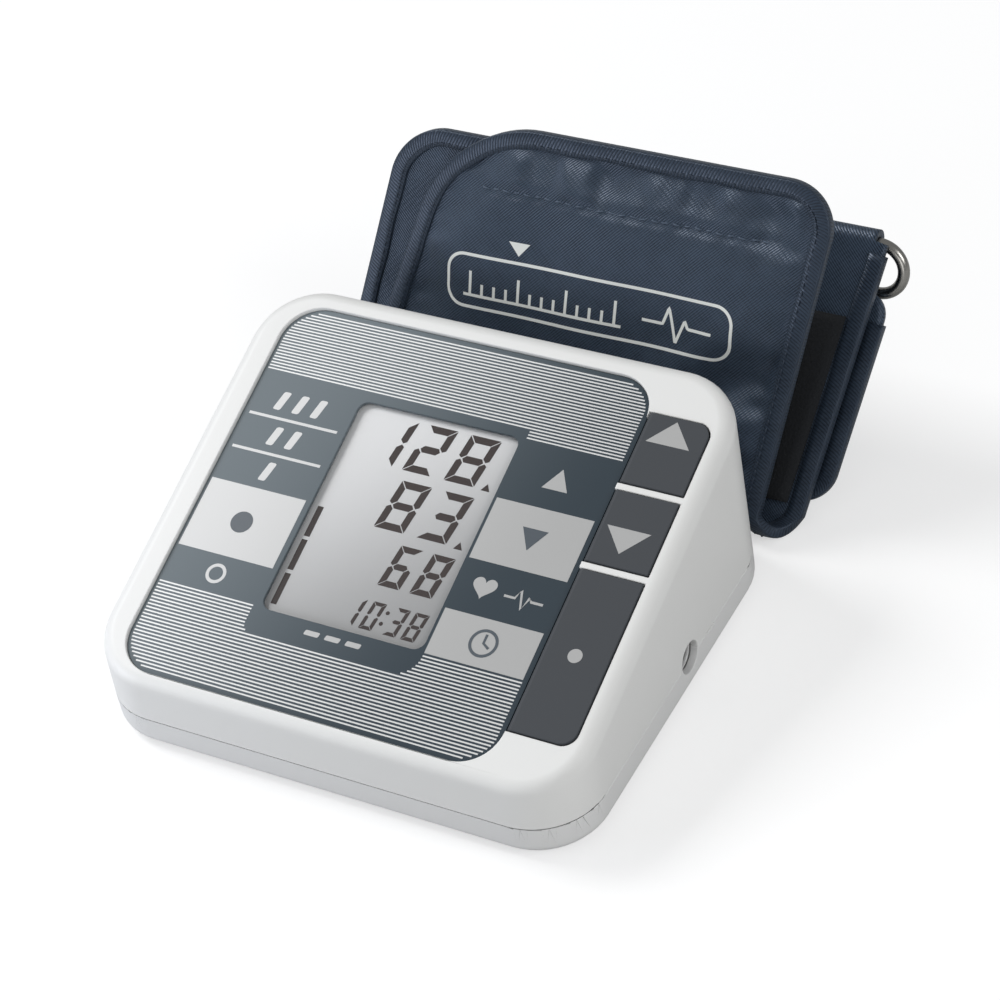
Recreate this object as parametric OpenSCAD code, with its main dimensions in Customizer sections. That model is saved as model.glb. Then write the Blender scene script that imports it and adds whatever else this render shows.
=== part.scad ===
// Arm-in blood pressure monitor: a desk case with a sloped face, and its folded arm cuff.
// Millimetres. X runs left to right, Y from the front to the back, Z up from the table.
// Everything is drawn with the front wall at y = 0 and the case centred on x = 0, then
// moved so that the middle of the whole object's footprint is the origin.

/* [Case] */
// Width of the case
case_w = 140; // [136:1:170]
// Depth of the case, front wall to back wall
case_d = 118; // [116:1:145]
// Height of the sloped face where it meets the front wall
front_h = 23; // [22:0.5:32]
// Slope of the face in degrees
face_tilt = 18; // [14:0.5:24]
// Radius of the case's upright corners
corner_r = 18; // [14:0.5:24]
// Radius of the edge round the face
edge_r = 4; // [3:0.25:6]
// Wall thickness of both shells
wall = 2.2; // [1.8:0.1:3]
// Height of the joint line between the shells
parting_z = 10; // [8:0.5:12]
// Height that the rubber feet stand out
foot_h = 1; // [0.5:0.25:2]

/* [Display panel] */
// Left margin from the case side to the panel
panel_left = 8.7; // [6:0.1:14]
// Margin from the front wall to the panel, along the slope
panel_front = 3.8; // [3:0.1:8]
// Margin from the back wall to the panel, along the slope
panel_back = 8.3; // [6:0.1:14]
// Corner radius of the panel
panel_r = 11; // [6:0.5:16]
// Depth of the panel's recess
recess = 2; // [1.2:0.1:3]
// Thickness of the printed panel
panel_t = 1; // [0.8:0.1:1.6]
// Width of the display opening
lcd_w = 47; // [40:0.5:54]
// Height of the display opening, along the slope
lcd_h = 63; // [54:0.5:70]
// Display opening's distance from the panel's left edge
lcd_left = 31.3; // [26:0.1:36]
// Display opening's distance from the panel's front edge
lcd_front = 25.4; // [20:0.1:30]

/* [Keys] */
// Width of the key strip
key_w = 18.2; // [15:0.1:22]
// Margin from the keys to the case side
key_right = 4.8; // [3.5:0.1:8]
// Length of the memory key and of the set key
key_len = 21.1; // [17:0.1:24]
// Width of the ribs between the keys
key_rib = 1.9; // [1.2:0.1:3]
// How far the keys stand above the case
key_proud = 0.4; // [0:0.1:1]
// How far a key goes down
key_travel = 0.6; // [0.3:0.1:0.8]
// Gap round each key
key_gap = 0.25; // [0.15:0.05:0.4]

/* [Batteries] */
// Diameter of one cell
cell_d = 14.3; // [14:0.1:14.5]
// Length of one cell
cell_l = 50.5; // [49:0.1:51]
// Number of cells
cell_n = 4; // [2:1:4]

/* [Cuff] */
// Width of the cuff's main strip
cuff_w = 130; // [110:1:150]
// Width of the cuff's tail at its foot
tail_w = 123; // [100:1:130]
// Height of the tail, from the fold to the free end
tail_len = 90; // [76:1:110]
// Height of the back of the cuff, from the fold to the hem
back_len = 74; // [62:1:90]
// Lean of the tail from upright, in degrees
tail_lean = 25; // [15:1:32]
// Lean of the back of the cuff from upright, in degrees
back_lean = 38; // [33:1:45]
// Radius of the fold at the foot of the cuff
fold_r = 5; // [4:0.5:7]
// Thickness of the cuff's cloth, two plies and their lining
cloth_t = 1.8; // [1.2:0.1:2.4]
// Thickness of the folded-up bladder
bladder_t = 3; // [2:0.25:5]
// Diameter of the ring's wire
ring_wire = 3.2; // [2.4:0.1:4]

/* [Hidden] */

fine = 64;
soft_fn = 24;
sliver = 0.02;

// Face layout. s is measured along the slope from the front wall, n out of the face.
slope_len = case_d / cos(face_tilt);
panel_x0 = -case_w / 2 + panel_left;
panel_x1 = case_w / 2 - key_right - key_w;
panel_s0 = panel_front;
panel_s1 = slope_len - panel_back;
window_x0 = panel_x0 + lcd_left;
window_x1 = window_x0 + lcd_w;
window_s0 = panel_s0 + lcd_front;
window_s1 = window_s0 + lcd_h;
window_r = 3;
floor_t = 2.2;
floor_lap = 1;
floor_edge = 3;
floor_r = 1;

// Key places along the slope: start nearest the front, then set, then memory.
key_x0 = panel_x1;
key_x1 = case_w / 2 - key_right;
strip_s0 = panel_s0 + 11.2;
strip_s1 = panel_s1 - 8.7;
memory_s0 = strip_s1 - key_len;
set_s0 = memory_s0 - key_rib - key_len;
start_s1 = set_s0 - key_rib;
key_corner = 4;
key_flange = 0.8;
key_flange_t = 1.1;
key_roll = 1.3;
key_depth = recess + floor_t + 0.3 + key_flange_t;
key_frame = 1.6;
key_frame_n = -0.6;
strip_mid_x = (key_x0 + key_x1) / 2;

// Stack under the face, as heights along n.
window_lip = 2;
window_lip_t = 0.6;
window_fit = 0.1;
glass_t = 2.2;
glass_edge = 2.4;
glass_n = -recess - window_lip_t - window_fit - glass_t;
holder_n = -recess - floor_t - window_fit;
holder_edge = 4.6;
holder_sill = 1;
connector_w = 2;
connector_edge = 2.2;
board_t = 1.6;
board_top = -7.6;
board_s0 = strip_s0 + 0.2;
board_s1 = slope_len - 18;
board_x0 = window_x0 - 10;
board_x1 = case_w / 2 - 4.4;
board_hole_r = 1.2;
post_r = 2.6;
post_hole_r = 0.9;
switch_h = -key_depth - key_travel - 0.1 - board_top;

board_post_places = [for (x = [window_x0 - 8, window_x1 + 9], s = [window_s0 - 6, window_s1 + 6]) [x, s]];

// Screws that close the case, and the feet.
screw_x = case_w / 2 - 13;
screw_y = 9.5;
boss_r = 3.5;
boss_hole_r = 1.2;
boss_hole_len = 8;
shank_hole_r = 1.7;
head_r = 2.9;
head_t = 1.8;
head_z = foot_h + 1.4;
foot_x = case_w / 2 - 10;
foot_r = 5;
foot_pocket = 0.6;
base_r = 3;
rib_t = 1.4;
rib_h = 2.5;
tongue_t = 1;
tongue_gap = 0.35;
tongue_h = 1.8;
foot_places = [for (sx = [-1, 1], y = [26, case_d - 26]) [sx * foot_x, y]];

// Battery bay, open at the bottom.
bay_pitch = cell_d + 0.7;
bay_x0 = -case_w / 2 + 20;
bay_x1 = bay_x0 + cell_n * bay_pitch + 0.6;
bay_y1 = case_d - 9;
bay_y0 = bay_y1 - cell_l - 6.5;
bay_wall = 1.6;
cover_t = 1.8;
cover_gap = 0.3;
cell_z = foot_h + cover_t + 0.3 + cell_d / 2;
bay_top = cell_z + cell_d / 2 + 0.5;
contact_t = 0.5;
spring_len = bay_y1 - bay_y0 - 2 * contact_t - cell_l;
spring_turns = 3;
spring_wire = 0.45;
hinge_y = bay_y0 + cover_gap;
hinge_z = foot_h + cover_t;
bay_mid_x = (bay_x0 + bay_x1) / 2;
groove_len = 16;
groove_pitch = 2.4;
groove_depth = 0.5;
slot_gap = 0.4;
slot_h = 5.4;
tab_places = [bay_x0 + bay_pitch + 0.3, bay_x1 - bay_pitch - 0.3];
tab_w = 5;
tab_len = 4;
tab_foot = 1;
tab_t = 1;
tab_z = foot_h + wall + 0.2;
latch_w = 14;
latch_t = 1.2;
latch_h = 5.2;
latch_y = bay_y1 + bay_wall + 0.3;

function cell_x(i) = bay_x0 + 0.3 + (i + 0.5) * bay_pitch;

// Sockets in the side walls, on the joint line.
socket_hole_r = 4.4;
socket_z = parting_z + 0.6;
jack_y = 66;
air_y = bay_y0 - 12;
air_bore_r = 2.6;
air_bore_len = 10;

// Air line in front of the batteries: socket, manifold, pump, and the sensor above.
tube_r = 2.4;
barb_r = 1.7;
barb_len = 4;
tube_bore_r = barb_r + 0.05;
tube_gap = 0.1;
manifold_half = 11;
manifold_d = 10;
outlet_x = 8;
socket_face_x = 0.4 - case_w / 2;
socket_len = 12.6;
socket_back_x = socket_face_x + wall + socket_len;
head_half = 13;
pump_x = bay_x1 + bay_wall + head_half + 4;
pump_run = 35.2;
manifold_x = pump_x - pump_run;
pump_r = 12;
pump_y0 = air_y + 9;
head_len = 20;
motor_len = 30;
pump_z = foot_h + wall + head_half + 0.4;
valve_y1 = air_y - manifold_d / 2 - barb_len;

// The sensor hangs under the board, on the line square to the face through the manifold.
sensor_s = air_y * cos(face_tilt) + (socket_z - front_h) * sin(face_tilt);
sensor_n = board_top - board_t - 4;
manifold_n = (socket_z - front_h) * cos(face_tilt) - air_y * sin(face_tilt);
nozzle_r = 1;
nozzle_len = 3;
chip_run = 20.78955;

// Cuff profile in the Y-Z plane. The strip runs from the free end of the tail, down to
// the fold at the foot, and up the back to the hem.
tape_w = 4;
tape_t = 0.6;
tape_gap = 0.15;
tape_n = cloth_t / 2 + tape_gap + tape_t;
fold_y = case_d + 0.4 + fold_r + tape_n;
fold_z = fold_r + tape_n;
cuff_shear = 0.13;
tail_shear_l = 0.286;
tail_shear_r = 0.156;
tail_right = 63.6;
back_right = 72;
tail_corner_l = 26;
tail_corner_r = 14;

function tail_point(u) = [fold_y - fold_r * cos(tail_lean) + u * sin(tail_lean),
    fold_z + fold_r * sin(tail_lean) + u * cos(tail_lean)];
function back_point(u) = [fold_y + fold_r * cos(back_lean) + u * sin(back_lean),
    fold_z - fold_r * sin(back_lean) + u * cos(back_lean)];
function tail_normal() = [-cos(tail_lean), sin(tail_lean)];
function back_normal() = [cos(back_lean), -sin(back_lean)];

// A point at height u on the back, moved n behind its middle.
function behind(u, n) = back_point(u) + n * back_normal();

// Layers behind the back: the bladder, and the rear cloth that turns over the ring's foot.
layer_gap = 0.3;
hem_r = ring_wire / 2 + cloth_t / 2 + layer_gap;
bladder_n = cloth_t / 2 + layer_gap + bladder_t / 2;
rear_n = cloth_t + bladder_t + 2 * layer_gap;
rear_swell = 2.4;
rear_right = 3.4;
rear_left = 1;
rear_foot = 4;
rear_corner = 8;
rear_draw = 7;
bladder_foot = 14;
ring_drop = 14;
ring_end_r = ring_drop / 2;
ring_turn = asin(rear_n / ring_drop);
ring_foot_u = back_len - ring_drop * cos(ring_turn);

// Layers behind the tail: the patch of hooks, then the second flap.
hook_t = 0.8;
loop_t = 1;
hook_n = cloth_t / 2 + tape_gap + hook_t / 2;
under_t = 1.6;
under_n = tape_n + layer_gap + 0.1 + tape_gap + tape_t + under_t / 2;
under_len = tail_len - 5;
under_corner = 13;
under_foot = 12;
under_left = 7.4;
under_slant = 0.2;
under_right = 6;

// The furthest points of the whole object, from which its middle is worked out.
ring_x1 = back_right + cuff_shear * back_len - 3.2;
ring_x0 = ring_x1 - cuff_w + 6.4;
cuff_far_x = ring_x1 + ring_end_r + ring_wire / 2;
cuff_far_y = behind(back_len, hem_r)[0] + hem_r + cloth_t / 2;
mid_x = (cuff_far_x - case_w / 2) / 2;
mid_y = cuff_far_y / 2;

module placed() {
    translate([-mid_x, -mid_y, 0]) children();
}

module on_face() {
    translate([0, 0, front_h]) rotate([face_tilt, 0, 0]) children();
}

// Exact rectangle with round corners, from corner (x0, y0) to corner (x1, y1).
module rounded_rect(x0, y0, x1, y1, r) {
    translate([x0 + r, y0]) square([x1 - x0 - 2 * r, y1 - y0]);
    translate([x0, y0 + r]) square([x1 - x0, y1 - y0 - 2 * r]);
    for (x = [x0 + r, x1 - r], y = [y0 + r, y1 - r]) {
        translate([x, y]) circle(r, $fn = fine);
    }
}

module plan(inset) {
    rounded_rect(-case_w / 2 + inset, inset, case_w / 2 - inset, case_d - inset, corner_r - inset);
}

module face_block(x0, s0, x1, s1, n0, n1) {
    translate([x0, s0, n0]) cube([x1 - x0, s1 - s0, n1 - n0]);
}

// The rounded wedge of the case, shrunk by inset on every side, from z0 up to the face.
module wedge(inset, z0) {
    tube = max(edge_r - inset, 0.8);
    ring = corner_r - inset - tube;
    hull() {
        translate([0, 0, z0]) linear_extrude(sliver) plan(inset);
        for (sx = [-1, 1], cy = [corner_r, case_d - corner_r]) {
            lift = front_h + cy * tan(face_tilt) - (inset + tube) / cos(face_tilt);
            translate([sx * (case_w / 2 - corner_r), cy, lift]) rotate([face_tilt, 0, 0])
                rotate_extrude($fn = 48) translate([ring, 0]) circle(tube, $fn = soft_fn);
        }
    }
}

// Outline of a key or of its window, from x0 to the strip's right edge, less margin.
module key_outline(x0, s0, s1, margin, top_round, bottom_round) {
    x1 = key_x1 - margin;
    difference() {
        translate([x0, s0 + margin]) square([x1 - x0, s1 - s0 - 2 * margin]);
        if (top_round) {
            translate([x1, s1 - margin]) key_nick(-1);
        }
        if (bottom_round) {
            translate([x1, s0 + margin]) key_nick(1);
        }
    }
}

// What a round right-hand corner takes off a square one; way is 1 on the front corner.
module key_nick(way) {
    difference() {
        translate([-key_corner, way > 0 ? -sliver : -key_corner]) square(key_corner + sliver);
        translate([-key_corner, way * key_corner]) circle(key_corner, $fn = fine);
    }
}

module board_posts() {
    for (p = board_post_places) {
        translate([p[0], p[1], board_top]) cylinder(r = post_r, h = -board_top - recess - 0.5, $fn = fine);
    }
}

module top_case() {
    color("whitesmoke") placed() difference() {
        union() {
            difference() {
                wedge(0, parting_z);
                wedge(wall, parting_z - 1);
            }
            // Floor of the panel's recess, and the frame round the keys.
            on_face() {
                translate([0, 0, -recess - floor_t]) linear_extrude(floor_t + 0.3)
                    rounded_rect(panel_x0 - floor_lap, panel_s0 - 0.6, panel_x1, panel_s1 + floor_lap,
                        panel_r);
                face_block(panel_x1 - 2 * key_frame, strip_s0 - key_frame, key_x1 + 1.4,
                    strip_s1 + key_frame,
                    -recess - floor_t, key_frame_n);
                board_posts();
            }
            case_bosses();
        }
        on_face() {
            translate([0, 0, -recess]) linear_extrude(recess + 2)
                rounded_rect(panel_x0, panel_s0, panel_x1, panel_s1, panel_r);
            translate([0, 0, -recess - floor_t - 1]) linear_extrude(floor_t + 2)
                around_window(floor_edge, floor_r);
            translate([0, 0, -key_depth]) linear_extrude(key_depth + 2) {
                key_outline(key_x0 - sliver, memory_s0, strip_s1, 0, true, false);
                key_outline(key_x0 - sliver, set_s0, set_s0 + key_len, 0, false, false);
                key_outline(key_x0 - sliver, strip_s0, start_s1, 0, false, true);
            }
            for (p = board_post_places) {
                translate([p[0], p[1], board_top - 1]) cylinder(r = post_hole_r, h = 4, $fn = fine);
            }
        }
        for (sx = [-1, 1], y = [screw_y, case_d - screw_y]) {
            translate([sx * screw_x, y, parting_z - 1])
                cylinder(r = boss_hole_r, h = boss_hole_len + 1, $fn = fine);
        }
        side_holes();
    }
}

// Screw pillars, cut off just under the face.
module case_bosses() {
    intersection() {
        for (sx = [-1, 1], y = [screw_y, case_d - screw_y]) {
            translate([sx * screw_x, y, parting_z]) cylinder(r = boss_r, h = case_d, $fn = fine);
        }
        on_face() face_block(-case_w, -10, case_w, 2 * case_d, -2 * case_d, -recess / 2);
    }
}

module side_holes() {
    translate([case_w / 2 - wall - 3, jack_y, socket_z]) rotate([0, 90, 0])
        cylinder(r = socket_hole_r, h = wall + 6, $fn = fine);
    translate([-case_w / 2 - 3, air_y, socket_z]) rotate([0, 90, 0])
        cylinder(r = socket_hole_r, h = wall + 6, $fn = fine);
}

module bottom_case() {
    floor_top = foot_h + wall;
    color("gainsboro") placed() difference() {
        union() {
            difference() {
                // Round lower edge, from one ring in each corner.
                hull() {
                    translate([0, 0, parting_z - sliver]) linear_extrude(sliver) plan(0);
                    for (sx = [-1, 1], cy = [corner_r, case_d - corner_r]) {
                        translate([sx * (case_w / 2 - corner_r), cy, foot_h + base_r])
                            rotate_extrude($fn = 48)
                            translate([corner_r - base_r, 0]) circle(base_r, $fn = soft_fn);
                    }
                }
                translate([0, 0, floor_top]) linear_extrude(parting_z) plan(wall);
            }
            // Tongue that goes up inside the top shell.
            difference() {
                translate([0, 0, floor_top - 0.5]) linear_extrude(parting_z - floor_top + 0.5 + tongue_h)
                    plan(wall + tongue_gap);
                translate([0, 0, floor_top - 1]) linear_extrude(parting_z)
                    plan(wall + tongue_gap + tongue_t);
            }
            // Battery bay walls and roof.
            translate([bay_x0 - bay_wall, bay_y0 - bay_wall, foot_h])
                cube([bay_x1 - bay_x0 + 2 * bay_wall, bay_y1 - bay_y0 + 2 * bay_wall,
                    bay_top + bay_wall - foot_h]);
            for (sx = [-1, 1], y = [screw_y, case_d - screw_y]) {
                translate([sx * screw_x, y, foot_h])
                    cylinder(r = boss_r + 0.6, h = parting_z - foot_h, $fn = fine);
            }
            // Stiffening ribs under the board.
            for (x = [-case_w / 5, case_w / 7]) {
                translate([x, wall + 1, floor_top - 0.5]) cube([rib_t, bay_y0 - 24 - wall, rib_h + 0.5]);
            }
        }
        translate([bay_x0, bay_y0, foot_h - 1])
            cube([bay_x1 - bay_x0, bay_y1 - bay_y0, bay_top - foot_h + 1]);
        cover_slots();
        for (sx = [-1, 1], y = [screw_y, case_d - screw_y]) {
            translate([sx * screw_x, y, 0]) cylinder(r = shank_hole_r, h = parting_z + 4, $fn = fine);
            translate([sx * screw_x, y, 0]) cylinder(r = head_r + 0.3, h = head_z + head_t, $fn = fine);
        }
        for (p = foot_places) {
            translate([p[0], p[1], foot_h - 1])
                cylinder(r = foot_r + 0.05, h = 1 + foot_pocket, $fn = fine);
        }
        side_holes();
        // Slot for prising the shells apart, beside the power jack.
        translate([case_w / 2 - 1, jack_y + 10, parting_z - 0.6]) cube([2, 4, 1]);
    }
}

module cover_slots() {
    for (x = tab_places) {
        translate([x - tab_w / 2 - slot_gap, bay_y0 - bay_wall - 1, foot_h + cover_t - 0.2])
            cube([tab_w + 2 * slot_gap, bay_wall + 2, slot_h]);
    }
    // Notch for the latch, behind the bay's back wall.
    translate([bay_mid_x - latch_w / 2 - slot_gap, bay_y1 - 1, foot_h - 1])
        cube([latch_w + 2 * slot_gap, 1 + latch_y - bay_y1 + latch_t + 0.7, 1 + wall + 0.1]);
}

module battery_cover() {
    x0 = bay_x0 + cover_gap;
    len_x = bay_x1 - bay_x0 - 2 * cover_gap;
    color("gainsboro") placed() {
        difference() {
            union() {
                translate([x0, hinge_y + cover_t, foot_h])
                    cube([len_x, bay_y1 - cover_gap - hinge_y - cover_t, cover_t]);
                // Hinge edge, rounded so that it can roll out of the bay.
                intersection() {
                    translate([x0, hinge_y + cover_t, foot_h + cover_t]) rotate([0, 90, 0])
                        cylinder(r = cover_t, h = len_x, $fn = fine);
                    translate([x0, hinge_y, foot_h]) cube([len_x, cover_t + sliver, cover_t]);
                }
                // Tabs that reach over the floor through the bay's front wall, on low risers.
                for (x = tab_places) {
                    translate([x - tab_w / 2, hinge_y - tab_len, tab_z])
                        cube([tab_w, tab_len + tab_foot, tab_t]);
                    translate([x - tab_w / 2, hinge_y, hinge_z - sliver])
                        cube([tab_w, tab_foot, tab_z - hinge_z + 2 * sliver]);
                }
                // Latch, an arm past the back edge that turns up behind the bay's wall.
                translate([bay_mid_x - latch_w / 2, bay_y1 - cover_gap - sliver, foot_h])
                    cube([latch_w, latch_y - bay_y1 + cover_gap + latch_t, cover_t]);
                translate([bay_mid_x - latch_w / 2, latch_y, foot_h]) cube([latch_w, latch_t, latch_h]);
            }
            // Grip grooves, cut across the cover near its latch.
            for (i = [0 : 4]) {
                translate([bay_mid_x - groove_len / 2, bay_y1 - 8 - groove_pitch * i, foot_h - 1])
                    cube([groove_len, 1, 1 + groove_depth]);
            }
        }
    }
}

module rubber_feet() {
    color("dimgray") placed() for (p = foot_places) {
        translate([p[0], p[1], 0]) {
            cylinder(r1 = foot_r - foot_pocket, r2 = foot_r, h = foot_pocket, $fn = fine);
            translate([0, 0, foot_pocket]) cylinder(r = foot_r, h = foot_h, $fn = fine);
        }
    }
}

// A cross-head screw, head down, with its cross cut 0.6 of the way across and into the head.
module screw(length, shank_r, cap_r, cap_h) {
    cross = 0.6;
    difference() {
        union() {
            cylinder(r = cap_r, h = cap_h, $fn = fine);
            cylinder(r = shank_r, h = length, $fn = fine);
        }
        for (a = [0, 90]) {
            rotate([0, 0, a]) translate([-cap_r * cross, -cross / 2, -1])
                cube([2 * cap_r * cross, cross, 1 + cap_h * cross]);
        }
    }
}

module case_screws() {
    color("silver") placed() for (sx = [-1, 1], y = [screw_y, case_d - screw_y]) {
        translate([sx * screw_x, y, head_z])
            screw(parting_z - foot_h + 5, boss_hole_r - 0.05, head_r, head_t);
    }
}

module face_panel() {
    gap = 0.15;
    color("slategray") placed() on_face() difference() {
        translate([0, 0, -recess]) linear_extrude(panel_t)
            rounded_rect(panel_x0 + gap, panel_s0 + gap, panel_x1 - gap, panel_s1 - gap, panel_r - gap);
        translate([0, 0, -recess - 1]) linear_extrude(panel_t + 2) around_window(0, window_r);
    }
}

// The display opening grown by edge on every side.
module around_window(edge, r) {
    rounded_rect(window_x0 - edge, window_s0 - edge, window_x1 + edge, window_s1 + edge, r);
}

// A block over the display opening, grown by edge on every side, or by edge_x at the sides.
module window_block(edge, n0, n1, edge_x) {
    face_block(window_x0 - edge_x, window_s0 - edge, window_x1 + edge_x, window_s1 + edge, n0, n1);
}

// A clear plug that fills the panel's opening, on a lip bonded under the panel.
module display_window() {
    color([0.8, 0.85, 0.9, 0.4]) placed() on_face() {
        translate([0, 0, -recess - sliver]) linear_extrude(panel_t + sliver - window_fit / 2)
            around_window(-window_fit, window_r - window_fit);
        translate([0, 0, -recess - window_lip_t]) linear_extrude(window_lip_t)
            around_window(window_lip, window_r);
    }
}

module lcd_glass() {
    color("lightgray") placed() on_face() window_block(glass_edge, glass_n, glass_n + glass_t, glass_edge);
}

// A frame on the board, whose pocket holds the glass on two sills.
module lcd_holder() {
    pocket = glass_edge + window_fit;
    color("white") placed() on_face() difference() {
        window_block(holder_edge, board_top, holder_n, holder_edge);
        window_block(pocket, glass_n - sliver, 0, pocket);
        window_block(pocket, board_top - 1, 0, -holder_sill);
    }
}

module lcd_connectors() {
    inset = holder_sill + 0.4;
    color("hotpink") placed() on_face()
        for (s = [window_s0 - connector_edge, window_s1 + connector_edge - connector_w]) {
            face_block(window_x0 + inset, s, window_x1 - inset, s + connector_w, board_top, glass_n);
        }
}

// One key: a cap whose inner edge rolls down to the panel, on a flange that keeps it in.
module key(s0, s1, top_round, bottom_round) {
    x0 = key_x0 + key_gap;
    color("dimgray") placed() on_face() {
        difference() {
            translate([0, 0, key_flange_t - key_depth]) linear_extrude(key_depth - key_flange_t + key_proud)
                key_outline(x0, s0, s1, key_gap, top_round, bottom_round);
            translate([x0, s0 - 1, key_proud]) rotate([-90, 0, 0]) difference() {
                translate([-1, -1, 0]) cube([key_roll + 1, key_roll + 1, s1 - s0 + 2]);
                translate([key_roll, key_roll, -1]) cylinder(r = key_roll, h = s1 - s0 + 4, $fn = fine);
            }
        }
        face_block(x0, s0 + key_gap - key_flange, key_x1 + key_flange - key_gap,
            s1 - key_gap + key_flange, -key_depth, key_flange_t - key_depth);
    }
}

module memory_key() {
    key(memory_s0, strip_s1, true, false);
}

module set_key() {
    key(set_s0, set_s0 + key_len, false, false);
}

module start_key() {
    key(strip_s0, start_s1, false, true);
}

module key_switches() {
    half = 3;
    plunger_r = 1.6;
    plunger_h = 0.4;
    mids = [(memory_s0 + strip_s1) / 2, set_s0 + key_len / 2, (strip_s0 + start_s1) / 2];
    color("silver") placed() on_face() for (s = mids) {
        translate([strip_mid_x - half, s - half, board_top]) cube([2 * half, 2 * half, switch_h - plunger_h]);
        translate([strip_mid_x, s, board_top]) cylinder(r = plunger_r, h = switch_h, $fn = fine);
    }
}

module main_board() {
    color("seagreen") placed() on_face() difference() {
        face_block(board_x0, board_s0, board_x1, board_s1, board_top - board_t, board_top);
        for (p = board_post_places) {
            translate([p[0], p[1], board_top - board_t - 1])
                cylinder(r = board_hole_r, h = board_t + 2, $fn = fine);
        }
    }
}

module board_screws() {
    shank_r = post_hole_r - 0.05;
    cap_r = 1.9;
    cap_h = 1.2;
    bite = 2.4;
    color("silver") placed() on_face() for (p = board_post_places) {
        translate([p[0], p[1], board_top - board_t - cap_h])
            screw(cap_h + board_t + bite, shank_r, cap_r, cap_h);
    }
}

module control_chip() {
    side = 12;
    x0 = window_x0 + 16;
    s0 = sensor_s + chip_run;
    chip_t = 1.6;
    color("black") placed() on_face()
        face_block(x0, s0, x0 + side, s0 + side, board_top - board_t - chip_t, board_top - board_t);
}

module buzzer() {
    can_r = 6;
    can_h = 4;
    hole_r = 1;
    place = [8, 84];
    color("black") placed() on_face() translate([place[0], place[1], board_top - board_t - can_h]) {
        difference() {
            cylinder(r = can_r, h = can_h, $fn = fine);
            translate([0, 0, -1]) cylinder(r = hole_r, h = 2.5 * hole_r, $fn = fine);
        }
    }
}

module pressure_sensor() {
    half = 4;
    color("ivory") placed() on_face() {
        face_block(manifold_x - half, sensor_s - half, manifold_x + half, sensor_s + half,
            sensor_n, board_top - board_t);
        translate([manifold_x, sensor_s, sensor_n - nozzle_len])
            cylinder(r = nozzle_r, h = nozzle_len + 1, $fn = fine);
    }
}

module pump_motor() {
    y0 = pump_y0 + head_len;
    bearing_r = 4;
    bearing_h = 2;
    shaft_r = 1;
    shaft_h = 1.5;
    color("silver") placed() translate([pump_x, y0, pump_z]) rotate([-90, 0, 0]) {
        cylinder(r = pump_r, h = motor_len, $fn = fine);
        translate([0, 0, motor_len]) cylinder(r = bearing_r, h = bearing_h, $fn = fine);
        translate([0, 0, motor_len + bearing_h]) cylinder(r = shaft_r, h = shaft_h, $fn = fine);
    }
}

module pump_head() {
    seam = 0.8;
    seams = [6, 12];
    color("darkslategray") placed() {
        difference() {
            translate([pump_x - head_half, pump_y0, pump_z - head_half + 1])
                cube([2 * head_half, head_len, 2 * head_half - 2]);
            for (y = seams) {
                translate([pump_x - head_half - 1, pump_y0 + y, pump_z - head_half])
                    cube([2 * head_half + 2, seam, 1 + seam]);
            }
        }
        translate([pump_x, pump_y0 + sliver, socket_z]) rotate([90, 0, 0])
            cylinder(r = barb_r, h = tube_r, $fn = fine);
    }
}

module pump_cradle() {
    floor_top = foot_h + wall;
    side = 2;
    strap = 4;
    inset = 5;
    motor_y = pump_y0 + head_len;
    color("dimgray") placed() for (y = [motor_y + inset, motor_y + motor_len - inset - strap]) {
        difference() {
            translate([pump_x - pump_r - side, y, floor_top])
                cube([2 * pump_r + 2 * side, strap, pump_z - floor_top]);
            translate([pump_x, y - 1, pump_z]) rotate([-90, 0, 0])
                cylinder(r = pump_r, h = strap + 2, $fn = fine);
        }
    }
}

module exhaust_valve() {
    size = [11, 15, 12];
    color("silver") placed() translate([manifold_x + 3, valve_y1 - size[1], foot_h + wall]) cube(size);
}

module bleed_valve() {
    body_r = 3.2;
    body_h = 6;
    tip_h = 3;
    color("ivory") placed() translate([manifold_x - outlet_x, air_y - manifold_d / 2, socket_z])
        rotate([90, 0, 0]) {
            cylinder(r = body_r, h = body_h, $fn = fine);
            translate([0, 0, body_h]) cylinder(r1 = body_r, r2 = body_r / 2, h = tip_h, $fn = fine);
        }
}

module air_manifold() {
    top_z = socket_z + 4;
    color("white") placed() {
        translate([manifold_x - manifold_half, air_y - manifold_d / 2, foot_h + wall])
            cube([2 * manifold_half, manifold_d, top_z - foot_h - wall]);
        for (sx = [-1, 1]) {
            translate([manifold_x + sx * (manifold_half - sliver), air_y, socket_z]) rotate([0, sx * 90, 0])
                cylinder(r = barb_r, h = barb_len, $fn = fine);
        }
        translate([manifold_x + outlet_x, air_y - manifold_d / 2 + sliver, socket_z]) rotate([90, 0, 0])
            cylinder(r = barb_r, h = barb_len, $fn = fine);
        on_face() translate([manifold_x, sensor_s, manifold_n])
            cylinder(r = nozzle_r, h = nozzle_len + 3.4, $fn = fine);
    }
}

// A tube along points, with sides faces round it and a bore left solid.
function ring_points(p, dir, r, sides) =
    let (a = abs(dir[2]) < 0.9 ? [0, 0, 1] : [1, 0, 0],
        u = cross(dir, a) / norm(cross(dir, a)), v = cross(dir, u))
    [for (k = [0 : sides - 1]) p + r * (cos(360 * k / sides) * u + sin(360 * k / sides) * v)];
function unit(v) = v / norm(v);
function along(path, i) = unit(path[min(i + 1, len(path) - 1)] - path[max(i - 1, 0)]);

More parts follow.
